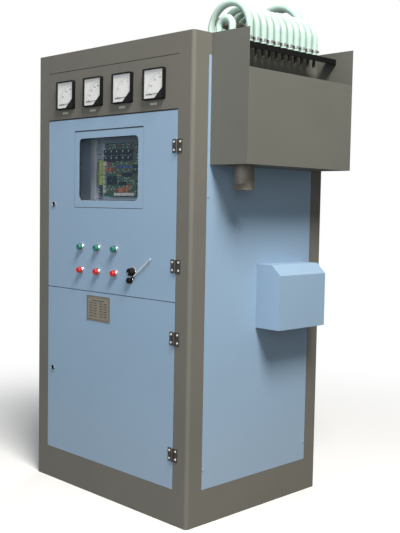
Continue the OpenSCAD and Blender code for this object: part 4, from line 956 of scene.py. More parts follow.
@dataclass
class Controls:
    """Push buttons, power knob, switch lever and lock rings.

    A profile's heights and the pointer's depths are counted out from the door's face, and the
    depths of boxes back from it.
    """

    columns: tuple[float, ...] = (-173.5, -59.0, 55.5)
    rows: tuple[float, ...] = (1063.0, 963.0)
    bezel: Profile = ((12.6, 1), (12.6, 7.2), (12.9, 7.8), (13.6, 8), (15, 7.7), (16.6, 6.8),
                      (17.6, 5.2), (18, 3.2), (18, 0), (11, 0), (11, -17), (6.2, -17), (6.2, 1))
    nut: Profile = ((11.1, -2), (15, -2), (15, -5), (11.1, -5))
    cap: Profile = ((0, 21.2), (4, 21.3), (8, 21.7), (9.8, 22), (11, 21.6), (11.8, 20.6),
                    (12, 19.2), (12, 6.6), (11.6, 6.3), (6, 6.3), (6, -13), (0, -13))
    block_half: float = 17.0
    block_split: float = 0.4
    block_inner: float = 6.8
    block_depths: tuple[float, float, float] = (5.2, 24.0, 51.0)
    ear_half: float = 5.0
    ear_levels: tuple[float, float] = (17.0, 12.0)
    ear_depths: tuple[float, float] = (40.0, 50.0)
    lock_x: float = -377.5
    lock_levels: tuple[tuple[str, float], ...] = (("upper_lock_cam", 1244.5),
                                                  ("lower_lock_cam", 507.5))
    lock_ring: Profile = ((9, 3.2), (9.2, 4), (10, 4.4), (11.4, 4.2), (12.1, 3.4), (12.2, 0.5),
                          (11, 0.5))
    knob: tuple[float, float] = (166.0, 977.0)
    knob_rows: Profile = ((17, 3.3), (17, 6), (16.2, 7), (15.6, 9), (15.2, 19), (14.8, 20.8),
                          (13.4, 22.2), (11, 22.3), (5, 22.1))
    flute_depths: tuple[float, ...] = (0, 0, 0.3, 0.8, 0.8, 0.6, 0.1, 0, 0)
    flutes: int = 18
    knob_stem: Profile = ((0, 4), (3, 4), (3, -13), (0, -13))
    pointer_angle: float = 225.0
    pointer_span: tuple[float, float] = (4.0, 13.0)
    pointer_half: float = 0.8
    pointer_depths: tuple[float, float] = (22.55, 22.0)
    knob_ring: Profile = ((3.05, 2.6), (19.5, 3), (21.2, 2.6), (22, 1.6), (22, 0), (5, 0), (5, -2),
                          (10, -2), (10, -5), (14, -5), (14, -31), (3.05, -31))
    lever: tuple[float, float] = (156.0, 941.0)
    lever_bush: Profile = ((4.05, 2), (12.6, 2), (13.6, 1.6), (14, 1), (14, 0), (7, 0), (7, -5),
                           (4.05, -5))
    switch_half: float = 22.0
    switch_inner: float = 4.6
    switch_depths: tuple[float, float] = (5.0, 55.0)
    lever_angle: float = 37.0
    lever_proud: float = 7.3
    arm_radius: float = 2.5
    arm_reach: tuple[float, ...] = (10.0, 150.0, 156.0, 157.4, 158.0)
    sleeve_radius: float = 3.8
    sleeve_reach: tuple[float, ...] = (9.0, 10.0, 29.0, 30.0)
    lever_hub: Profile = ((0, 17.3), (8.5, 17.3), (11, 16.4), (12, 14.4), (12, 3.2), (11.4, 2.3),
                          (4, 2.3), (4, -22), (0, -22))

    def build(self) -> None:
        """Makes the buttons, the lock rings, the knob and the lever."""
        bezels, blocks = Shape(), Shape()
        for z in self.rows:
            for x in self.columns:
                bezels.add(*turned(self.bezel, (x, FRONT, z), Axis.OUT, 48, True))
                bezels.add(*turned(self.nut, (x, FRONT, z), Axis.OUT, 6, True))
                self._contact_block(blocks, x, z)
        bezels.piece("button_bezels", CHROME, UPPER_DOOR, "bright_steel", ("button_housings",))
        blocks.piece("contact_blocks", BLACK_PLASTIC, UPPER_DOOR, "black_plastic", bevel=0.8)
        for colour, z, finish in zip(("green", "red"), self.rows, (GREEN_CAP, RED_CAP)):
            for i, x in enumerate(self.columns):
                node = f"{colour}_button_{i + 1}"
                Shape().add(*turned(self.cap, (x, FRONT, z), Axis.OUT, 48)).piece(
                    node + "_cap", finish, node + "_body", f"button_{colour}", (node,))
        for body, z in self.lock_levels:
            Shape().add(*turned(self.lock_ring, (self.lock_x, FRONT, z), Axis.OUT, 36,
                                True)).piece(body + "_ring", CHROME, body, "bright_steel")
        self._knob()
        self._switch_bodies()
        self._lever()

    def _contact_block(self, shape: Shape, x: float, z: float) -> None:
        """A housing of two stacked halves with a split line and two terminal ears.

        Args:
            shape: what it is added to.
            x: the button's middle.
            z: the height of its middle.
        """
        half, split, inner = self.block_half, self.block_split, self.block_inner
        near, step, far = (FRONT + depth for depth in self.block_depths)
        for z0, z1 in ((-half, -split), (split, half)):
            for x0, x1 in ((-half, -inner), (inner, half)):
                shape.add(*block((x + x0, near, z + z0), (x + x1, step, z + z1)))
            shape.add(*block((x - half, step, z + z0), (x + half, far, z + z1)))
        y0, y1 = (FRONT + depth for depth in self.ear_depths)
        for s in (-1, 1):
            shape.add(*block((x - self.ear_half, y0, z + s * self.ear_levels[0]),
                             (x + self.ear_half, y1, z + s * self.ear_levels[1])))

    def _knob(self) -> None:
        """A fluted knob with its stem and a pale pointer.

        Its radius is a circle less a small cosine wave, whose depth differs from row to row.
        """
        x, z = self.knob
        around = 144
        rows = np.array(self.knob_rows)
        turn = np.linspace(0.0, 2.0 * math.pi, around, endpoint=False)
        wave = 0.5 + 0.5 * np.cos(self.flutes * turn)
        radius = rows[:, :1] - np.array(self.flute_depths)[:, None] * wave[None]
        depth = np.broadcast_to(FRONT - rows[:, 1:], radius.shape)
        pts = np.stack([x + radius * np.cos(turn), depth, z + radius * np.sin(turn)], -1)
        last = (len(rows) - 1) * around
        grip = Shape().add(pts, [grid_faces(len(rows), around, False, True),
                                 np.arange(around)[None], np.arange(last, last + around)[None]])
        grip.add(*turned(self.knob_stem, (x, FRONT, z), Axis.OUT, 24))
        grip.piece("power_knob_grip", BLACK_PLASTIC, "knob", "black_plastic", ("power_knob",))
        a = math.radians(self.pointer_angle)
        outline = strip(np.array([x, z]), np.array([math.cos(a), math.sin(a)]),
                        *self.pointer_span, self.pointer_half)
        front, back = self.pointer_depths
        Shape().add(*slab(outline, FRONT - front, FRONT - back)).piece(
            "knob_pointer", PART_WHITE, "knob", "tag_white")

    def _switch_bodies(self) -> None:
        """The knob's ring and bush, and the lever's bush and switch body."""
        bodies = Shape()
        bodies.add(*turned(self.knob_ring, (self.knob[0], FRONT, self.knob[1]), Axis.OUT, 48,
                           True))
        x, z = self.lever
        bodies.add(*turned(self.lever_bush, (x, FRONT, z), Axis.OUT, 48, True))
        y0, y1 = (FRONT + depth for depth in self.switch_depths)
        for s in (-1, 1):
            bodies.add(*block((x + s * self.switch_half, y0, z - self.switch_half),
                              (x + s * self.switch_inner, y1, z + self.switch_half)))
        bodies.piece("knob_ring_and_switch", CHROME, UPPER_DOOR, "bright_steel",
                     ("rotary_bodies",))

    def _lever(self) -> None:
        """A hub, a bright round arm and a black sleeve at the hub."""
        x, z = self.lever
        a = math.radians(self.lever_angle)
        d = np.array([math.cos(a), 0.0, math.sin(a)])
        root = np.array([x, FRONT - self.lever_proud, z])
        Shape().add(*tube(root + np.array(self.arm_reach)[:, None] * d, self.arm_radius,
                          20)).piece("lever_arm", BRIGHT, "lever", "bright_steel",
                                     ("switch_lever",))
        hub = Shape()
        hub.add(*turned(self.lever_hub, (x, FRONT, z), Axis.OUT, 40))
        hub.add(*tube(root + np.array(self.sleeve_reach)[:, None] * d, self.sleeve_radius, 20))
        hub.piece("lever_hub", BLACK_PLASTIC, "lever", "black_plastic", bevel=0.5)


@dataclass
class RatingPlate:
    """The riveted plate on the lower door, with blank rows: short dark dashes in a grid."""

    middle: tuple[float, float] = (-55.0, 805.0)
    field_size: tuple[float, float] = (134.0, 86.0)
    field_corner: float = 4.0
    field_depths: tuple[float, float] = (1.15, 1.3)
    dash_depths: tuple[float, float] = (1.36, 1.3)
    line_depths: tuple[float, float] = (1.34, 1.3)
    top_row: float = 837.0
    row_pitch: float = 11.0
    row_count: int = 7
    dash_height: float = 3.2
    title: tuple[tuple[float, float], ...] = ((-98.0, -12.0),)
    dash_spans: tuple[tuple[float, float], ...] = ((-114.0, -92.0), (-86.0, -64.0),
                                                   (-46.0, -24.0), (-18.0, 4.0))
    line_span: tuple[float, float] = (-118.0, 8.0)
    line_drops: tuple[float, float] = (4.2, 3.6)

    def build(self) -> None:
        """Finishes the plate and makes its printed field and rows."""
        dress(PLATE_METAL, "plate_metal", "rating_plate", bevel=0.25)
        field_face = framed(round_rect(*self.field_size, self.field_corner),
                            [(0, FRONT - depth) for depth in self.field_depths], self.middle,
                            False)
        Shape().add(*field_face).piece("plate_field", PLATE_PRINT, LOWER_DOOR, "plate_metal",
                                       smooth=False)
        rows = Shape()
        for r in range(self.row_count):
            z = self.top_row - r * self.row_pitch
            for span in self.dash_spans if r else self.title:
                self._mark(rows, span, self.dash_depths, (z, z + self.dash_height))
            self._mark(rows, self.line_span, self.line_depths,
                       (z - self.line_drops[0], z - self.line_drops[1]))
        rows.piece("plate_rows", MARK_BLACK, LOWER_DOOR, "plate_metal", smooth=False)

    @staticmethod
    def _mark(shape: Shape, xs: Sequence[float], depths: Sequence[float],
              zs: Sequence[float]) -> None:
        """A flat mark between two x, two depths out from the door's face and two heights."""
        shape.add(*block((xs[0], FRONT - depths[0], zs[0]), (xs[1], FRONT - depths[1], zs[1])))


@dataclass
class WaterSide:
    """Hoses, nozzles, clamps and the drain pipe."""

    strip_x: float = 580.0
    strip_z: float = 1871.0
    first_y: float = -186.0
    pitch: float = 40.0
    count: int = 11
    hose_radius: float = 14.0
    feed_radius: float = 16.0
    first_root_x: float = 376.0
    root_x: float = 410.0
    bend_z: float = 1933.0
    root_z: float = 1447.0
    tail_z: float = 1876.3
    clamp_z: float = 1884.3
    bypass_y: float = -286.0
    bypass_xs: tuple[float, float] = (517.0, 585.0)
    bypass_bend_z: float = 1917.0
    bypass_root_z: float = 1864.0
    feed_ys: tuple[float, ...] = (264.0, 304.0)
    feed_xs: tuple[float, float] = (202.0, 470.0)
    feed_bend_z: float = 1979.3
    feed_ends: tuple[float, float] = (389.0, 1967.3)
    feed_clamp_z: float = 1967.8
    lean: float = 3.2
    rise: tuple[float, float] = (-4.0, 1.0)
    first_seed: int = 70
    feed_seed: int = 90
    bypass_seed: int = 110
    clamp_step: float = 8.0
    bypass_clamp: float = 90.0
    feed_clamp: float = 30.0
    collar: Profile = ((0, 0), (12, 0), (12, 4.6), (11.4, 5), (9.3, 5), (9.3, 24), (8.8, 25),
                       (6.5, 25), (6.5, 20), (0, 20))
    nut: Profile = ((0, -3.2), (11, -3.2), (11, -9), (0, -9))
    tail_radius: float = 6.9
    tail_groove: float = 0.5
    tail_thread: tuple[float, float] = (-9.0, -40.0)
    tail_foot: Profile = ((6.9, -45), (5, -45), (5, -30), (0, -30))
    band: Profile = ((0.1, 0.5), (1.2, 0), (1.2, 11), (0.1, 10.5))
    worm_turn: float = 40.0
    worm_rise: float = 5.5
    worm_reach: float = 3.4
    worm_half: float = 6.0
    worm_end: float = 9.0
    worm_radius: float = 2.8
    head_radius: float = 3.4
    elbow_z: float = 1850.0
    barb: Profile = ((0, 28), (9, 28), (9, 13.7), (12, 13.7), (12, 9), (8, 9), (8, -8), (0, -8))
    wall_pipe: Profile = ((0, 0), (8, 0), (8, -20.4), (12, -20.4), (12, -37), (0, -37))
    drain: tuple[float, float] = (595.0, -214.0)
    drain_radius: float = 38.0
    drain_groove: float = 0.7
    drain_thread: tuple[float, float] = (1311.0, 1335.0)
    drain_lip: Profile = ((34, 1311.5), (34.6, 1311))
    drain_wall: Profile = ((38, 1336), (38, 1344), (38.5, 1344.4), (38.5, 1346.6), (38, 1347),
                           (38, 1402.6), (37.4, 1403), (37.4, 1407), (54.4, 1407),
                           (54.9, 1407.6), (54.9, 1410.6), (54.4, 1411), (37.4, 1411),
                           (37.4, 1420.6), (37, 1421), (34.4, 1421), (34, 1420.5))

    def build(self) -> None:
        """Makes the hoses, their fittings and the drain."""
        hoses, brass, bands, worms = Shape(), Shape(), Shape(), Shape()
        for k in range(self.count):
            y = self.first_y + k * self.pitch
            left = self.root_x if k else self.first_root_x
            self._arch(hoses, (left, self.strip_x), y, self.bend_z, (self.root_z, self.tail_z),
                       self.hose_radius, self.first_seed + k)
            self._nozzle(brass, self.strip_x, y)
            self._clamp(bands, worms, (self.strip_x, y, self.clamp_z), self.hose_radius,
                        self.clamp_step * (k % 3))
        self._arch(hoses, self.bypass_xs, self.bypass_y, self.bypass_bend_z,
                   (self.bypass_root_z, self.tail_z), self.hose_radius, self.bypass_seed)
        self._nozzle(brass, self.bypass_xs[1], self.bypass_y)
        self._clamp(bands, worms, (self.bypass_xs[1], self.bypass_y, self.clamp_z),
                    self.hose_radius, self.bypass_clamp)
        self._elbow(brass)
        for k, y in enumerate(self.feed_ys):
            self._arch(hoses, self.feed_xs, y, self.feed_bend_z, self.feed_ends,
                       self.feed_radius, self.feed_seed + k)
            self._clamp(bands, worms, (self.feed_xs[1], y, self.feed_clamp_z), self.feed_radius,
                        self.feed_clamp)
        hoses.piece("water_hose_runs", HOSE, CABINET, "hose_plastic", ("water_hoses",))
        # The nozzles' dark brass tone is partly painted shade for their place under the strip.
        brass.piece("nozzles", BRASS, CABINET, "fitting_brass", ("hose_fittings",))
        bands.piece("clamp_bands", BAND, CABINET, "fitting_brass")
        worms.piece("clamp_worms", BLACK_STEEL, CABINET, "fitting_brass")
        self._drain()

    def _arch(self, shape: Shape, xs: tuple[float, float], y: float, z_bend: float,
              ends: tuple[float, float], radius: float, seed: int) -> None:
        """A hose: a straight leg, half a turn and a second leg, as one smooth path.

        The half turn is a circle that leans and rises a little, by a sine along it, so that no
        two hoses are quite alike. The lean is nothing at both ends.

        Args:
            shape: what it is added to.
            xs: x of the left and right legs.
            y: the hose's plane.
            z_bend: height where the half turn starts and ends.
            ends: the heights of the left and right ends.
            radius: the hose's radius.
            seed: picks the lean and rise.
        """
        r = (xs[1] - xs[0]) / 2
        rng = np.random.default_rng(seed)
        lean, rise = rng.uniform(-self.lean, self.lean), rng.uniform(*self.rise)
        turn = np.linspace(math.pi, 0.0, 49)
        arc = np.stack([(xs[0] + xs[1]) / 2 + r * np.cos(turn), y + lean * np.sin(turn),
                        z_bend + (r + rise) * np.sin(turn)], -1)
        down = np.linspace(ends[0], z_bend, 14)[:-1]
        up = np.linspace(z_bend, ends[1], 6)[1:]
        legs = [np.stack([np.full(len(z), x), np.full(len(z), y), z], -1)
                for x, z in zip(xs, (down, up))]
        shape.add(*tube(np.concatenate([legs[0], arc, legs[1]]), radius, 28))

    def _nozzle(self, shape: Shape, x: float, y: float) -> None:
        """A collar with a round flange, a six-sided nut and a threaded tail under the strip.

        Args:
            shape: what it is added to.
            x: the nozzle's middle.
            y: the nozzle's middle.
        """
        at = (x, y, self.strip_z)
        shape.add(*turned(self.collar, at, Axis.UP, 24))
        shape.add(*turned(self.nut, at, Axis.UP, 6))
        tail = [(0, 0), (self.tail_radius, 0)]
        tail += threaded(self.tail_radius, self.tail_groove, np.linspace(*self.tail_thread, 32))
        shape.add(*turned(tail + list(self.tail_foot), at, Axis.UP, 20))

    def _clamp(self, bands: Shape, worms: Shape, foot: Place, radius: float, turn: float) -> None:
        """A band round the hose with a worm housing and its screw.

        Args:
            bands: what the band is added to.
            worms: what the housing is added to.
            foot: the middle of the band's lower edge.
            radius: the hose's radius.
            turn: where the housing stands round the hose, in degrees.
        """
        band = [(radius + gap, height) for gap, height in self.band]
        bands.add(*turned(band, foot, Axis.UP, 36, True))
        a = math.radians(turn + self.worm_turn)
        out = np.array([math.cos(a), math.sin(a), 0.0])
        side = np.array([-out[1], out[0], 0.0])
        hub = np.array(foot) + (0.0, 0.0, self.worm_rise) + (radius + self.worm_reach) * out
        near, mid, far = (hub + s * side for s in (-self.worm_half, self.worm_half,
                                                   self.worm_end))
        worms.add(*tube(np.array([near, mid]), self.worm_radius, 8))
        worms.add(*tube(np.array([mid, far]), self.head_radius, 6))

    def _elbow(self, shape: Shape) -> None:
        """The wall fitting under the short hose: an upright barb and a pipe through the wall.

        Args:
            shape: what it is added to.
        """
        at = (self.bypass_xs[0], self.bypass_y, self.elbow_z)
        shape.add(*turned(self.barb, at, Axis.UP, 28))
        shape.add(*turned(self.wall_pipe, at, Axis.RIGHT, 28))

    def _drain(self) -> None:
        """The drain pipe: a wall profile with a cut thread at the foot and a flange inside."""
        thread = threaded(self.drain_radius, self.drain_groove,
                          np.linspace(*self.drain_thread, 25))
        profile = list(self.drain_lip) + thread + list(self.drain_wall)
        Shape().add(*turned(profile, (*self.drain, 0.0), Axis.UP, 64, True)).piece(
            "drain_pipe_wall", PIPE_ZINC, CABINET, "drain_galvanised", ("drain_pipe",))


@dataclass(frozen=True)
class BoxRow:
    """A row of equal boxes on the board. start and step are shares of the board's sides."""

    count: int
    start: tuple[float, float]
    step: tuple[float, float]
    size: tuple[float, float, float]


@dataclass
class ControlBoard:
    """The circuit board behind the window. A part's place is a share of the board's sides."""

    corner: tuple[float, float] = (-163.0, 1282.0)
    size: tuple[float, float] = (300.0, 230.0)
    face: float = -287.6
    relay: tuple[float, float, float] = (24.0, 22.0, 20.0)
    relay_dot: Profile = ((0, 0), (3.4, 0), (3.4, 0.6), (0, 0.6))
    dot_shift: tuple[float, float] = (4.0, 3.0)
    relay_columns_share: tuple[float, ...] = (0.10, 0.22, 0.34, 0.48, 0.60)
    relay_rows_share: tuple[float, ...] = (0.70, 0.82)
    chip_depth: float = 12.0
    chips: tuple[tuple[float, ...], ...] = (
        (0.14, 0.30, 20, 36), (0.26, 0.30, 20, 36), (0.44, 0.24, 40, 14), (0.72, 0.55, 34, 12),
        (0.72, 0.45, 34, 12), (0.88, 0.50, 16, 40))
    can: tuple[float, float] = (8.4, 26.0)
    cans_share: Profile = ((0.52, 0.40), (0.60, 0.40), (0.84, 0.28), (0.84, 0.16), (0.90, 0.76))
    film_can: tuple[float, float] = (9.0, 18.0)
    film_cans_share: Profile = ((0.12, 0.50), (0.20, 0.50))
    orange_boxes: tuple[tuple[float, ...], ...] = (
        (0.10, 0.60, 16, 14, 16), (0.42, 0.12, 26, 18, 14), (0.56, 0.15, 12, 26, 14))
    white_box: tuple[float, ...] = (0.10, 0.625, 9, 26, 20)
    trimmers: BoxRow = BoxRow(6, (0.34, 0.55), (0.05, 0.0), (8, 9, 9))
    foot_plugs: BoxRow = BoxRow(6, (0.30, 0.04), (0.075, 0.0), (19, 12, 12))
    side_plugs: BoxRow = BoxRow(10, (0.03, 0.10), (0.0, 0.085), (10, 16, 11))
    pins: BoxRow = BoxRow(10, (0.66, 0.63), (0.028, 0.0), (2.4, 7, 2))
    test_pins_share: Profile = tuple((0.03 + 0.03 * i, 0.95) for i in range(8))
    screws_share: Profile = ((0.04, 0.052), (0.04, 0.948), (0.96, 0.052), (0.96, 0.948))
    test_pin: Profile = ((0, 0), (2.2, 0), (2.2, 3), (0, 3))
    corner_screw: Profile = ((0, 0), (3.4, 0), (3.4, 1.6), (0, 2.4))
    resistor_face: float = -289.8
    resistor_half: float = 3.8
    resistor_radius: float = 1.9
    resistor_rows: tuple[float, float, int] = (0.08, 0.96, 18)
    resistor_columns: tuple[float, float, int] = (0.09, 0.97, 24)
    resistor_jitter: float = 0.010
    resistor_stripes: int = 20
    resistor_seed: int = 5

    def build(self) -> None:
        """Relays, transformers, chips, capacitors and plugs in rows, as on such a board."""
        dress(BOARD_GREEN, "circuit_board", "control_board")
        black, white, orange, blue, metal = Shape(), Shape(), Shape(), Shape(), Shape()
        for u in self.relay_columns_share:
            for v in self.relay_rows_share:
                self._box(black, u, v, *self.relay)
                x, z = self.at(u, v)
                dot = (x + self.dot_shift[0], self.face - self.relay[2], z + self.dot_shift[1])
                white.add(*turned(self.relay_dot, dot, Axis.OUT, 12))
        for chip in self.chips:
            self._box(black, *chip, self.chip_depth)
        for u, v in self.cans_share:
            self._can(black, u, v, *self.can)
        for u, v in self.film_cans_share:
            self._can(orange, u, v, *self.film_can)
        for part in self.orange_boxes:
            self._box(orange, *part)
        self._box(white, *self.white_box)
        for shape, row in ((blue, self.trimmers), (white, self.foot_plugs),
                           (white, self.side_plugs), (metal, self.pins)):
            for i in range(row.count):
                self._box(shape, row.start[0] + row.step[0] * i, row.start[1] + row.step[1] * i,
                          *row.size)
        for u, v in self.test_pins_share:
            self._stud(metal, u, v, self.test_pin, 10)
        for u, v in self.screws_share:
            self._stud(metal, u, v, self.corner_screw, 6)
        self._resistors()
        black.piece("board_black_parts", BLACK_PLASTIC, CABINET, "board_black", ("board_parts",),
                    bevel=0.6)
        white.piece("board_plugs", PART_WHITE, CABINET, "tag_white", bevel=0.3)
        orange.piece("board_orange_parts", PART_ORANGE, CABINET, "board_black", bevel=0.5)
        blue.piece("board_trimmers", PART_BLUE, CABINET, "board_black", bevel=0.3)
        metal.piece("board_metal_parts", STEEL, CABINET, "bright_steel")

    def at(self, u: float, v: float) -> tuple[float, float]:
        """(x, z) of a share of the board's width and height."""
        return self.corner[0] + u * self.size[0], self.corner[1] + v * self.size[1]

    def _can(self, shape: Shape, u: float, v: float, radius: float, height: float) -> None:
        """A round capacitor standing on the board, with a crimped rim.

        Args:
            shape: what it is added to.
            u: its place across the board.
            v: its place up the board.
            radius: its radius.
            height: how far it stands out.
        """
        profile = ((0, 0), (radius, 0), (radius, 2.5), (radius - 0.6, 3.2), (radius, 4.0),
                   (radius, height - 1), (radius - 1, height), (0, height - 0.4))
        self._stud(shape, u, v, profile, 24)

    def _stud(self, shape: Shape, u: float, v: float, profile: Profile, sides: int) -> None:
        """A turned part that stands on the board at a share of its sides."""
        x, z = self.at(u, v)
        shape.add(*turned(profile, (x, self.face, z), Axis.OUT, sides))

    def _box(self, shape: Shape, u: float, v: float, w: float, h: float, d: float) -> None:
        """A boxy part, w by h by d, with its middle at a share of the board's sides."""
        x, z = self.at(u, v)
        shape.add(*block((x - w / 2, self.face - d, z - h / 2), (x + w / 2, self.face, z + h / 2)))

    def _resistors(self) -> None:
        """Rows of small axial parts between the large ones, jittered by a seeded generator."""
        rng = np.random.default_rng(self.resistor_seed)
        shapes = [(Shape(), PART_BROWN, "brown"), (Shape(), WIRE_RED, "red"),
                  (Shape(), PART_WHITE, "cream")]
        span = np.array([[-self.resistor_half], [self.resistor_half]])
        for row, v in enumerate(np.linspace(*self.resistor_rows)):
            for u in np.linspace(*self.resistor_columns):
                du, dv = rng.uniform(-self.resistor_jitter, self.resistor_jitter, 2)
                x, z = self.at(u + du, v + dv)
                shape = shapes[int(rng.integers(0, 3))][0]
                lies = (row + int(self.resistor_stripes * u)) % 2
                along = span * (np.array([1, 0, 0]) if lies else np.array([0, 0, 1]))
                shape.add(*tube(np.array([x, self.resistor_face, z]) + along,
                                self.resistor_radius, 6))
        for shape, finish, name in shapes:
            shape.piece("board_resistors_" + name, finish, CABINET, "board_black")


@dataclass
class ControlPlate:
    """The mounting plate's terminals, slotted duct, lamp and wires."""

    face: float = -260.0
    rails: tuple[tuple[float, int], ...] = ((1331.0, 7), (1377.0, 10))
    terminal_pitch: float = 6.2
    terminal_height: float = 5.8
    terminal_xs: tuple[float, float] = (-197.0, -167.0)
    terminal_ys: tuple[float, float] = (-294.0, -262.0)
    screw_xs: tuple[float, float] = (-192.5, -171.5)
    screw: Profile = ((0, 0), (2, 0), (2, 0.6), (0, 0.6))
    duct_zs: tuple[float, float] = (1212.0, 1541.0)
    duct_walls: Profile = ((-246, -244), (-210, -208))
    fingers: int = 27
    finger_pitch: float = 12.2
    finger_height: float = 8.4
    finger_ys: tuple[float, float] = (-298.0, -262.0)
    wall_ys: tuple[float, float] = (-270.0, -260.0)
    lid_xs: tuple[float, float] = (-246.4, -207.6)
    lid_ys: tuple[float, float] = (-300.0, -297.6)
    base_xs: tuple[float, float] = (-246.0, -208.0)
    base_ys: tuple[float, float] = (-262.0, -260.0)
    lamp: tuple[float, float] = (-365.0, 1410.0)
    lamp_dome: Profile = ((0, 0), (11, 0), (11, 4), (8, 5), (8, 16), (7, 20), (4, 22), (0, 22.6))
    wire_radius: float = 1.1
    wire_foot: float = 1334.0
    wire_count: int = 17
    wires_below: int = 7
    rail_gap: float = 3.0
    wire_ends: tuple[Place, Place] = ((-209, -286, 2), (-196, -290, 0))
    wire_bow: Place = (0, -7, 0)
    plug_wire_foot: float = 1305.0
    plug_wire_pitch: float = 19.5
    plug_wire_count: int = 10
    plug_wire_ends: tuple[Place, Place] = ((-166, -276, -6), (-156, -296, 0))
    plug_wire_bow: Place = (-2, -8, -4)
    cord_foot: float = 1284.0
    cord_pitch: float = 11.2
    cord_count: int = 13
    cord_radius: float = 2.4
    cord: tuple[Place, ...] = ((-209, -272, 0), (-203, -284, 0), (-199, -272, 0))

    def build(self) -> None:
        """Paints the plate, pale enough to be painted light for what comes in through the window,
        and makes what is on it, beside the board.
        """
        # The plate's pale finish is painted light, standing in for light that comes in through the
        # window.
        dress(PLATE_PAINT_AND_PAINTED_LIGHT, "plate_paint", "mounting_plate")
        self._terminals()
        self._duct()
        Shape().add(*turned(self.lamp_dome, (self.lamp[0], self.face, self.lamp[1]), Axis.OUT,
                            28)).piece("plate_lamp", PART_WHITE, CABINET, "board_black")
        self._wires()

    def _terminals(self) -> None:
        """Two rows of slim terminals with screws."""
        strips, screws = Shape(), Shape()
        (x0, x1), (y0, y1) = self.terminal_xs, self.terminal_ys
        for foot, count in self.rails:
            for i in range(count):
                z = foot + i * self.terminal_pitch
                strips.add(*block((x0, y0, z), (x1, y1, z + self.terminal_height)))
                for x in self.screw_xs:
                    screws.add(*turned(self.screw, (x, y0, z + self.terminal_height / 2),
                                       Axis.OUT, 10))
        strips.piece("terminal_rows", TERMINAL_GREEN, CABINET, "wiring_plastic",
                     ("plate_wiring",), bevel=0.4)
        screws.piece("terminal_screws", STEEL, CABINET, "bright_steel")

    def _duct(self) -> None:
        """An upright duct: two walls of fingers on low rails, a base and a lid."""
        duct = Shape()
        z0, z1 = self.duct_zs
        for x0, x1 in self.duct_walls:
            for i in range(self.fingers):
                z = z0 + i * self.finger_pitch
                duct.add(*block((x0, self.finger_ys[0], z),
                                (x1, self.finger_ys[1], z + self.finger_height)))
            duct.add(*block((x0, self.wall_ys[0], z0), (x1, self.wall_ys[1], z1)))
        for xs, ys in ((self.lid_xs, self.lid_ys), (self.base_xs, self.base_ys)):
            duct.add(*block((xs[0], ys[0], z0), (xs[1], ys[1], z1)))
        duct.piece("slotted_duct", DUCT_GREY, CABINET, "wiring_plastic", bevel=0.3)

    def _wires(self) -> None:
        """Short wires from the duct to the terminals and plugs, and black cords between them."""
        sets = {"red": (Shape(), WIRE_RED), "yellow": (Shape(), WIRE_YELLOW),
                "black": (Shape(), BLACK_PLASTIC)}
        for i in range(self.wire_count):
            gap = self.rail_gap if i >= self.wires_below else 0.0
            self._wire(sets[("red", "yellow", "black")[i % 3]][0], self.wire_ends,
                       self.wire_foot + i * self.terminal_pitch + gap, self.wire_bow)
        for i in range(self.cord_count):
            path = np.array(self.cord, float) + (0, 0, self.cord_foot + i * self.cord_pitch)
            sets["black"][0].add(*tube(path, self.cord_radius, 10))
        for i in range(self.plug_wire_count):
            self._wire(sets[("black", "red", "yellow")[i % 3]][0], self.plug_wire_ends,
                       self.plug_wire_foot + i * self.plug_wire_pitch, self.plug_wire_bow)
        for name, (shape, finish) in sets.items():
            shape.piece("wires_" + name, finish, CABINET, "board_black")

    def _wire(self, shape: Shape, ends: tuple[Place, Place], z: float, bow: Place) -> None:
        """A wire between two points that bows out by half a sine.

        Args:
            shape: what it is added to.
            ends: its two ends, at height zero.
            z: the height that it is lifted to.
            bow: how far its middle is pushed out.
        """
        s = np.linspace(0.0, 1.0, 13)[:, None]
        a, b = np.array(ends, float) + (0.0, 0.0, z)
        shape.add(*tube(a + s * (b - a) + np.sin(math.pi * s) * np.array(bow, float),
                        self.wire_radius, 8))


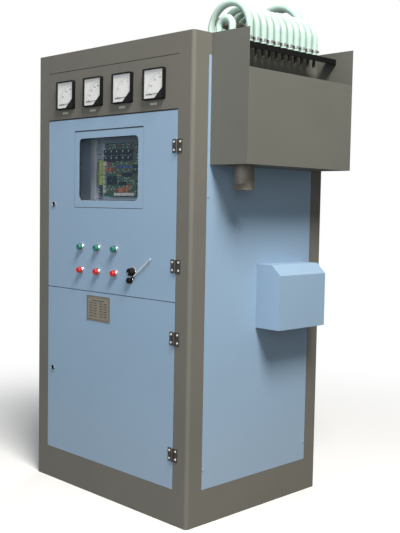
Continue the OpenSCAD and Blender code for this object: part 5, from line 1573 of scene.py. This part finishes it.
@dataclass
class PowerParts:
    """Breaker, busbars, clamped stack and reactor inside the cabinet."""

    stack: tuple[float, float] = (405.0, 1395.0)
    first_disc_y: float = -176.0
    disc_pitch: float = 40.0
    disc_count: int = 10
    disc_foot: Profile = ((0, 0), (30, 0), (34, 1), (34, 3), (31.5, 3.6))
    rib_levels: tuple[float, ...] = (5.0, 8.0, 11.0, 14.0)
    rib: Profile = ((31, 0), (33.6, 0.8), (33.6, 1.4), (31, 2.2))
    disc_head: Profile = ((31.5, 16.4), (34, 17), (34, 19), (30, 20), (0, 20))
    breaker_lo: Place = (-350.0, -191.0, 103.0)
    breaker_hi: Place = (-150.0, 69.0, 363.0)
    base_top: float = 250.0
    cover_top: float = 340.0
    cover_step: float = 3.0
    barrier_ys: tuple[float, ...] = (-191.0, -106.0, -26.0, 54.0)
    barrier_inset: float = 10.0
    barrier_span: tuple[float, float] = (2.0, 12.0)
    handle: tuple[Place, Place] = ((-330.0, -199.0, 290.0), (-300.0, -189.0, 318.0))
    pole_x: float = -250.0
    pole_ys: tuple[float, ...] = (-146.0, -66.0, 14.0)
    pole: Profile = ((0, 330), (14, 330), (14, 376), (10, 376), (10, 383), (0, 383))
    coil_xs: tuple[float, float] = (130.0, -90.0)
    coil_y: float = 284.0
    coil_foot: float = 199.0
    coil_turns: int = 8
    coil_pitch: float = 22.3
    layer_radii: tuple[float, float] = (56.0, 79.0)
    coil_tube: float = 10.2
    barb_x: float = 202.0
    barb_ys: tuple[float, float] = (264.0, 304.0)
    barb: Profile = ((0, 372), (14, 372), (14, 384), (10.6, 388), (10.6, 407), (0, 407))

    def build(self) -> None:
        """Makes or finishes each power part."""
        dress(COPPER, "copper", "busbars", "cooling_blocks")
        dress(LAMINATE, "insulating_board", "bar_insulator")
        dress(ZINC, "galvanised", "stack_clamp")
        dress(CORE_STEEL, "core_steel", "reactor_core")
        self._discs()
        self._breaker()
        self._coils()

    def _discs(self) -> None:
        """Disc thyristors: a ribbed ceramic ring between two flat flanges."""
        discs = Shape()
        ribs = [(radius, level + h) for level in self.rib_levels for radius, h in self.rib]
        profile = list(self.disc_foot) + ribs + list(self.disc_head)
        for k in range(self.disc_count):
            at = (self.stack[0], self.first_disc_y + k * self.disc_pitch, self.stack[1])
            discs.add(*turned(profile, at, Axis.BACK, 40))
        discs.piece("disc_thyristors", CERAMIC, CABINET, "ceramic", ("thyristors",))

    def _breaker(self) -> None:
        """A moulded breaker: base, raised cover, phase barriers, handle and pole studs."""
        shell, studs = Shape(), Shape()
        (x0, y0, z0), (x1, y1, z1) = self.breaker_lo, self.breaker_hi
        step, inset = self.cover_step, self.barrier_inset
        shell.add(*block((x0, y0, z0), (x1, y1, self.base_top)))
        shell.add(*block((x0 + step, y0 + step, self.base_top),
                         (x1 - step, y1 - step, self.cover_top)))
        for y in self.barrier_ys:
            near, far = (y + shift for shift in self.barrier_span)
            shell.add(*block((x0 + inset, near, self.cover_top), (x1 - inset, far, z1)))
        shell.add(*block(*self.handle))
        for y in self.pole_ys:
            studs.add(*turned(self.pole, (self.pole_x, y, 0.0), Axis.UP, 24))
        shell.piece("breaker_shell", BLACK_PLASTIC, CABINET, "black_plastic", ("main_breaker",),
                    bevel=2.0)
        studs.piece("breaker_poles", COPPER, CABINET, "copper")

    def _coils(self) -> None:
        """Two coils of copper tube: each layer is a helix at a constant radius and pitch."""
        coils = Shape()
        s = np.linspace(0.0, self.coil_turns * 2.0 * math.pi, self.coil_turns * 32 + 1)
        for x in self.coil_xs:
            for radius in self.layer_radii:
                path = np.stack([x + radius * np.cos(s), self.coil_y + radius * np.sin(s),
                                 self.coil_foot + s / (2.0 * math.pi) * self.coil_pitch], -1)
                coils.add(*self._wound(path, x))
        for y in self.barb_ys:
            coils.add(*turned(self.barb, (self.barb_x, y, 0.0), Axis.UP, 24))
        coils.piece("reactor_windings", COPPER, CABINET, "copper", ("reactor_coils",))

    def _wound(self, path: np.ndarray, x: float) -> tuple[np.ndarray, Faces]:
        """A tube round a coil's axis: its circle is spanned by the outward direction and up.

        Args:
            path: the helix.
            x: where the coil's axis stands.

        Returns:
            The tube's vertices and faces.
        """
        out = path - np.array([x, self.coil_y, 0.0])
        out[:, 2] = 0.0
        out /= np.linalg.norm(out, axis=1, keepdims=True)
        up = np.broadcast_to(np.array([0.0, 0.0, 1.0]), out.shape)
        return ringed(path, out, up, self.coil_tube, 12)


# Camera, floor and light


@dataclass(frozen=True)
class Lamp:
    """A square area lamp that faces a point, in metres and watts."""

    name: str
    stand: Place
    target: Place
    size: float
    power: float
    tint: Colour = (0.92, 0.96, 1.0)

    def build(self) -> None:
        """Adds the lamp to the scene, turned so that its light leaves towards the point."""
        data = bpy.data.lights.new(self.name, "AREA")
        data.color = self.tint
        data.size = self.size
        data.energy = self.power
        aim = Vector(self.target) - Vector(self.stand)
        turn = aim.to_track_quat("-Z", "Y").to_matrix().to_4x4()
        place(self.name, data).matrix_world = Matrix.Translation(self.stand) @ turn


@dataclass
class Studio:
    """Camera at the photograph's angle, a pale floor, soft lamps and a pale world, in metres."""

    stand: Place = (2.811, -2.650, 1.250)
    azimuth: float = 45.12
    elevation: float = 4.07
    roll: float = 1.02
    lens: float = 58.03
    sensor: float = 36.0
    floor_radius: float = 60.0
    floor_color: Colour = (0.74, 0.74, 0.73)
    floor_bounce: Colour = (0.18, 0.18, 0.17)
    floor_fade: tuple[float, float] = (0.9, 3.2)
    world_light: float = 0.08
    world_gloss: float = 0.35
    lamps: tuple[Lamp, ...] = (
        Lamp("key", (3.95, -1.95, 6.3), (0.3, 0.0, 1.0), 2.3, 800.0, (1.0, 0.965, 0.92)),
        Lamp("fill", (0.4, -6.2, 2.6), (0.0, 0.0, 0.9), 3.2, 136.0, (0.90, 0.95, 1.0)),
        Lamp("side", (4.6, -4.2, 2.2), (0.0, 0.0, 1.2), 2.4, 57.0),
        Lamp("back", (-2.6, 4.2, 4.0), (0.0, 0.0, 1.0), 2.4, 120.0))

    def build(self) -> None:
        """Sets up the camera, floor, lamps and world."""
        self._camera()
        self._floor()
        for lamp in self.lamps:
            lamp.build()
        self._world()
        bpy.context.scene.view_settings.view_transform = "Standard"

    def _camera(self) -> None:
        """Places the camera: the image axes are the azimuth and elevation's, rolled."""
        a, e, r = (math.radians(v) for v in (self.azimuth, self.elevation, self.roll))
        back = Vector((math.sin(a) * math.cos(e), -math.cos(a) * math.cos(e), math.sin(e)))
        right = Vector((math.cos(a), math.sin(a), 0.0))
        up = back.cross(right)
        x = right * math.cos(r) + up * math.sin(r)
        y = up * math.cos(r) - right * math.sin(r)
        data = bpy.data.cameras.new("photo_camera")
        data.lens = self.lens
        data.sensor_width = self.sensor
        data.clip_end = 200.0
        cam = place("photo_camera", data)
        turn = Matrix((x, y, back)).transposed().to_4x4()
        cam.matrix_world = Matrix.Translation(self.stand) @ turn
        bpy.context.scene.camera = cam

    def _floor(self) -> None:
        """A large floor: pale near the object, and as white as the backdrop far from it."""
        mesh = bpy.data.meshes.new("floor")
        turn = np.linspace(0.0, 2.0 * math.pi, 64, endpoint=False)
        ring = self.floor_radius * np.stack([np.cos(turn), np.sin(turn), np.zeros(64)], -1)
        mesh.from_pydata(ring.tolist(), [], [list(range(64))])
        mat = bpy.data.materials.new("floor")
        mat.use_nodes = True
        tree = mat.node_tree
        join = tree.links.new
        base = tree.nodes["Principled BSDF"]
        fill_in(base, {"Roughness": 0.85, "Specular IOR Level": 0.1})
        rays = add_node(tree, "LightPath")
        pale = add_node(tree, "Mix", {6: (*self.floor_bounce, 1.0), 7: (*self.floor_color, 1.0)},
                        data_type="RGBA")
        glow = add_node(tree, "Emission")
        coords = add_node(tree, "TexCoord")
        length = add_node(tree, "VectorMath", operation="LENGTH")
        far = add_node(tree, "MapRange", {"From Min": self.floor_fade[0],
                                          "From Max": self.floor_fade[1]},
                       interpolation_type="SMOOTHSTEP")
        seen = add_node(tree, "Math", operation="MULTIPLY")
        mix = add_node(tree, "MixShader")
        join(rays.outputs["Is Camera Ray"], pale.inputs[0])
        join(pale.outputs[2], base.inputs["Base Color"])
        join(coords.outputs["Object"], length.inputs[0])
        join(length.outputs["Value"], far.inputs["Value"])
        join(far.outputs["Result"], seen.inputs[0])
        join(rays.outputs["Is Camera Ray"], seen.inputs[1])
        join(seen.outputs["Value"], mix.inputs[0])
        join(base.outputs["BSDF"], mix.inputs[1])
        join(glow.outputs["Emission"], mix.inputs[2])
        join(mix.outputs["Shader"], tree.nodes["Material Output"].inputs["Surface"])
        mesh.materials.append(mat)
        obj = place("floor", mesh)

    def _world(self) -> None:
        """A world that is white to the camera, grey to gloss and dimmer as a lamp."""
        world = bpy.data.worlds.new("studio")
        bpy.context.scene.world = world
        world.use_nodes = True
        tree = world.node_tree
        join = tree.links.new
        plain = tree.nodes["Background"]
        fill_in(plain, {"Color": WHITE, "Strength": self.world_light})
        white = add_node(tree, "Background", {"Color": WHITE, "Strength": 1.0})
        rays = add_node(tree, "LightPath")
        gloss = add_node(tree, "Math", {1: self.world_gloss}, operation="MULTIPLY_ADD")
        seen = add_node(tree, "Math", operation="ADD", use_clamp=True)
        mix = add_node(tree, "MixShader")
        join(rays.outputs["Is Glossy Ray"], gloss.inputs[0])
        join(rays.outputs["Is Transmission Ray"], gloss.inputs[2])
        join(rays.outputs["Is Camera Ray"], seen.inputs[0])
        join(gloss.outputs["Value"], seen.inputs[1])
        join(seen.outputs["Value"], mix.inputs[0])
        join(plain.outputs["Background"], mix.inputs[1])
        join(white.outputs["Background"], mix.inputs[2])
        join(mix.outputs["Shader"], tree.nodes["World Output"].inputs["Surface"])


def main() -> None:
    """Builds the studio and every sub-assembly."""
    logging.basicConfig(level=logging.INFO, format="%(message)s")
    Studio().build()
    for part in (Enclosure(), Meters(), Window(), Controls(), RatingPlate(), WaterSide(),
                 ControlBoard(), ControlPlate(), PowerParts()):
        LOG.info("building %s", type(part).__name__)
        part.build()


if __name__ == "__main__":
    main()
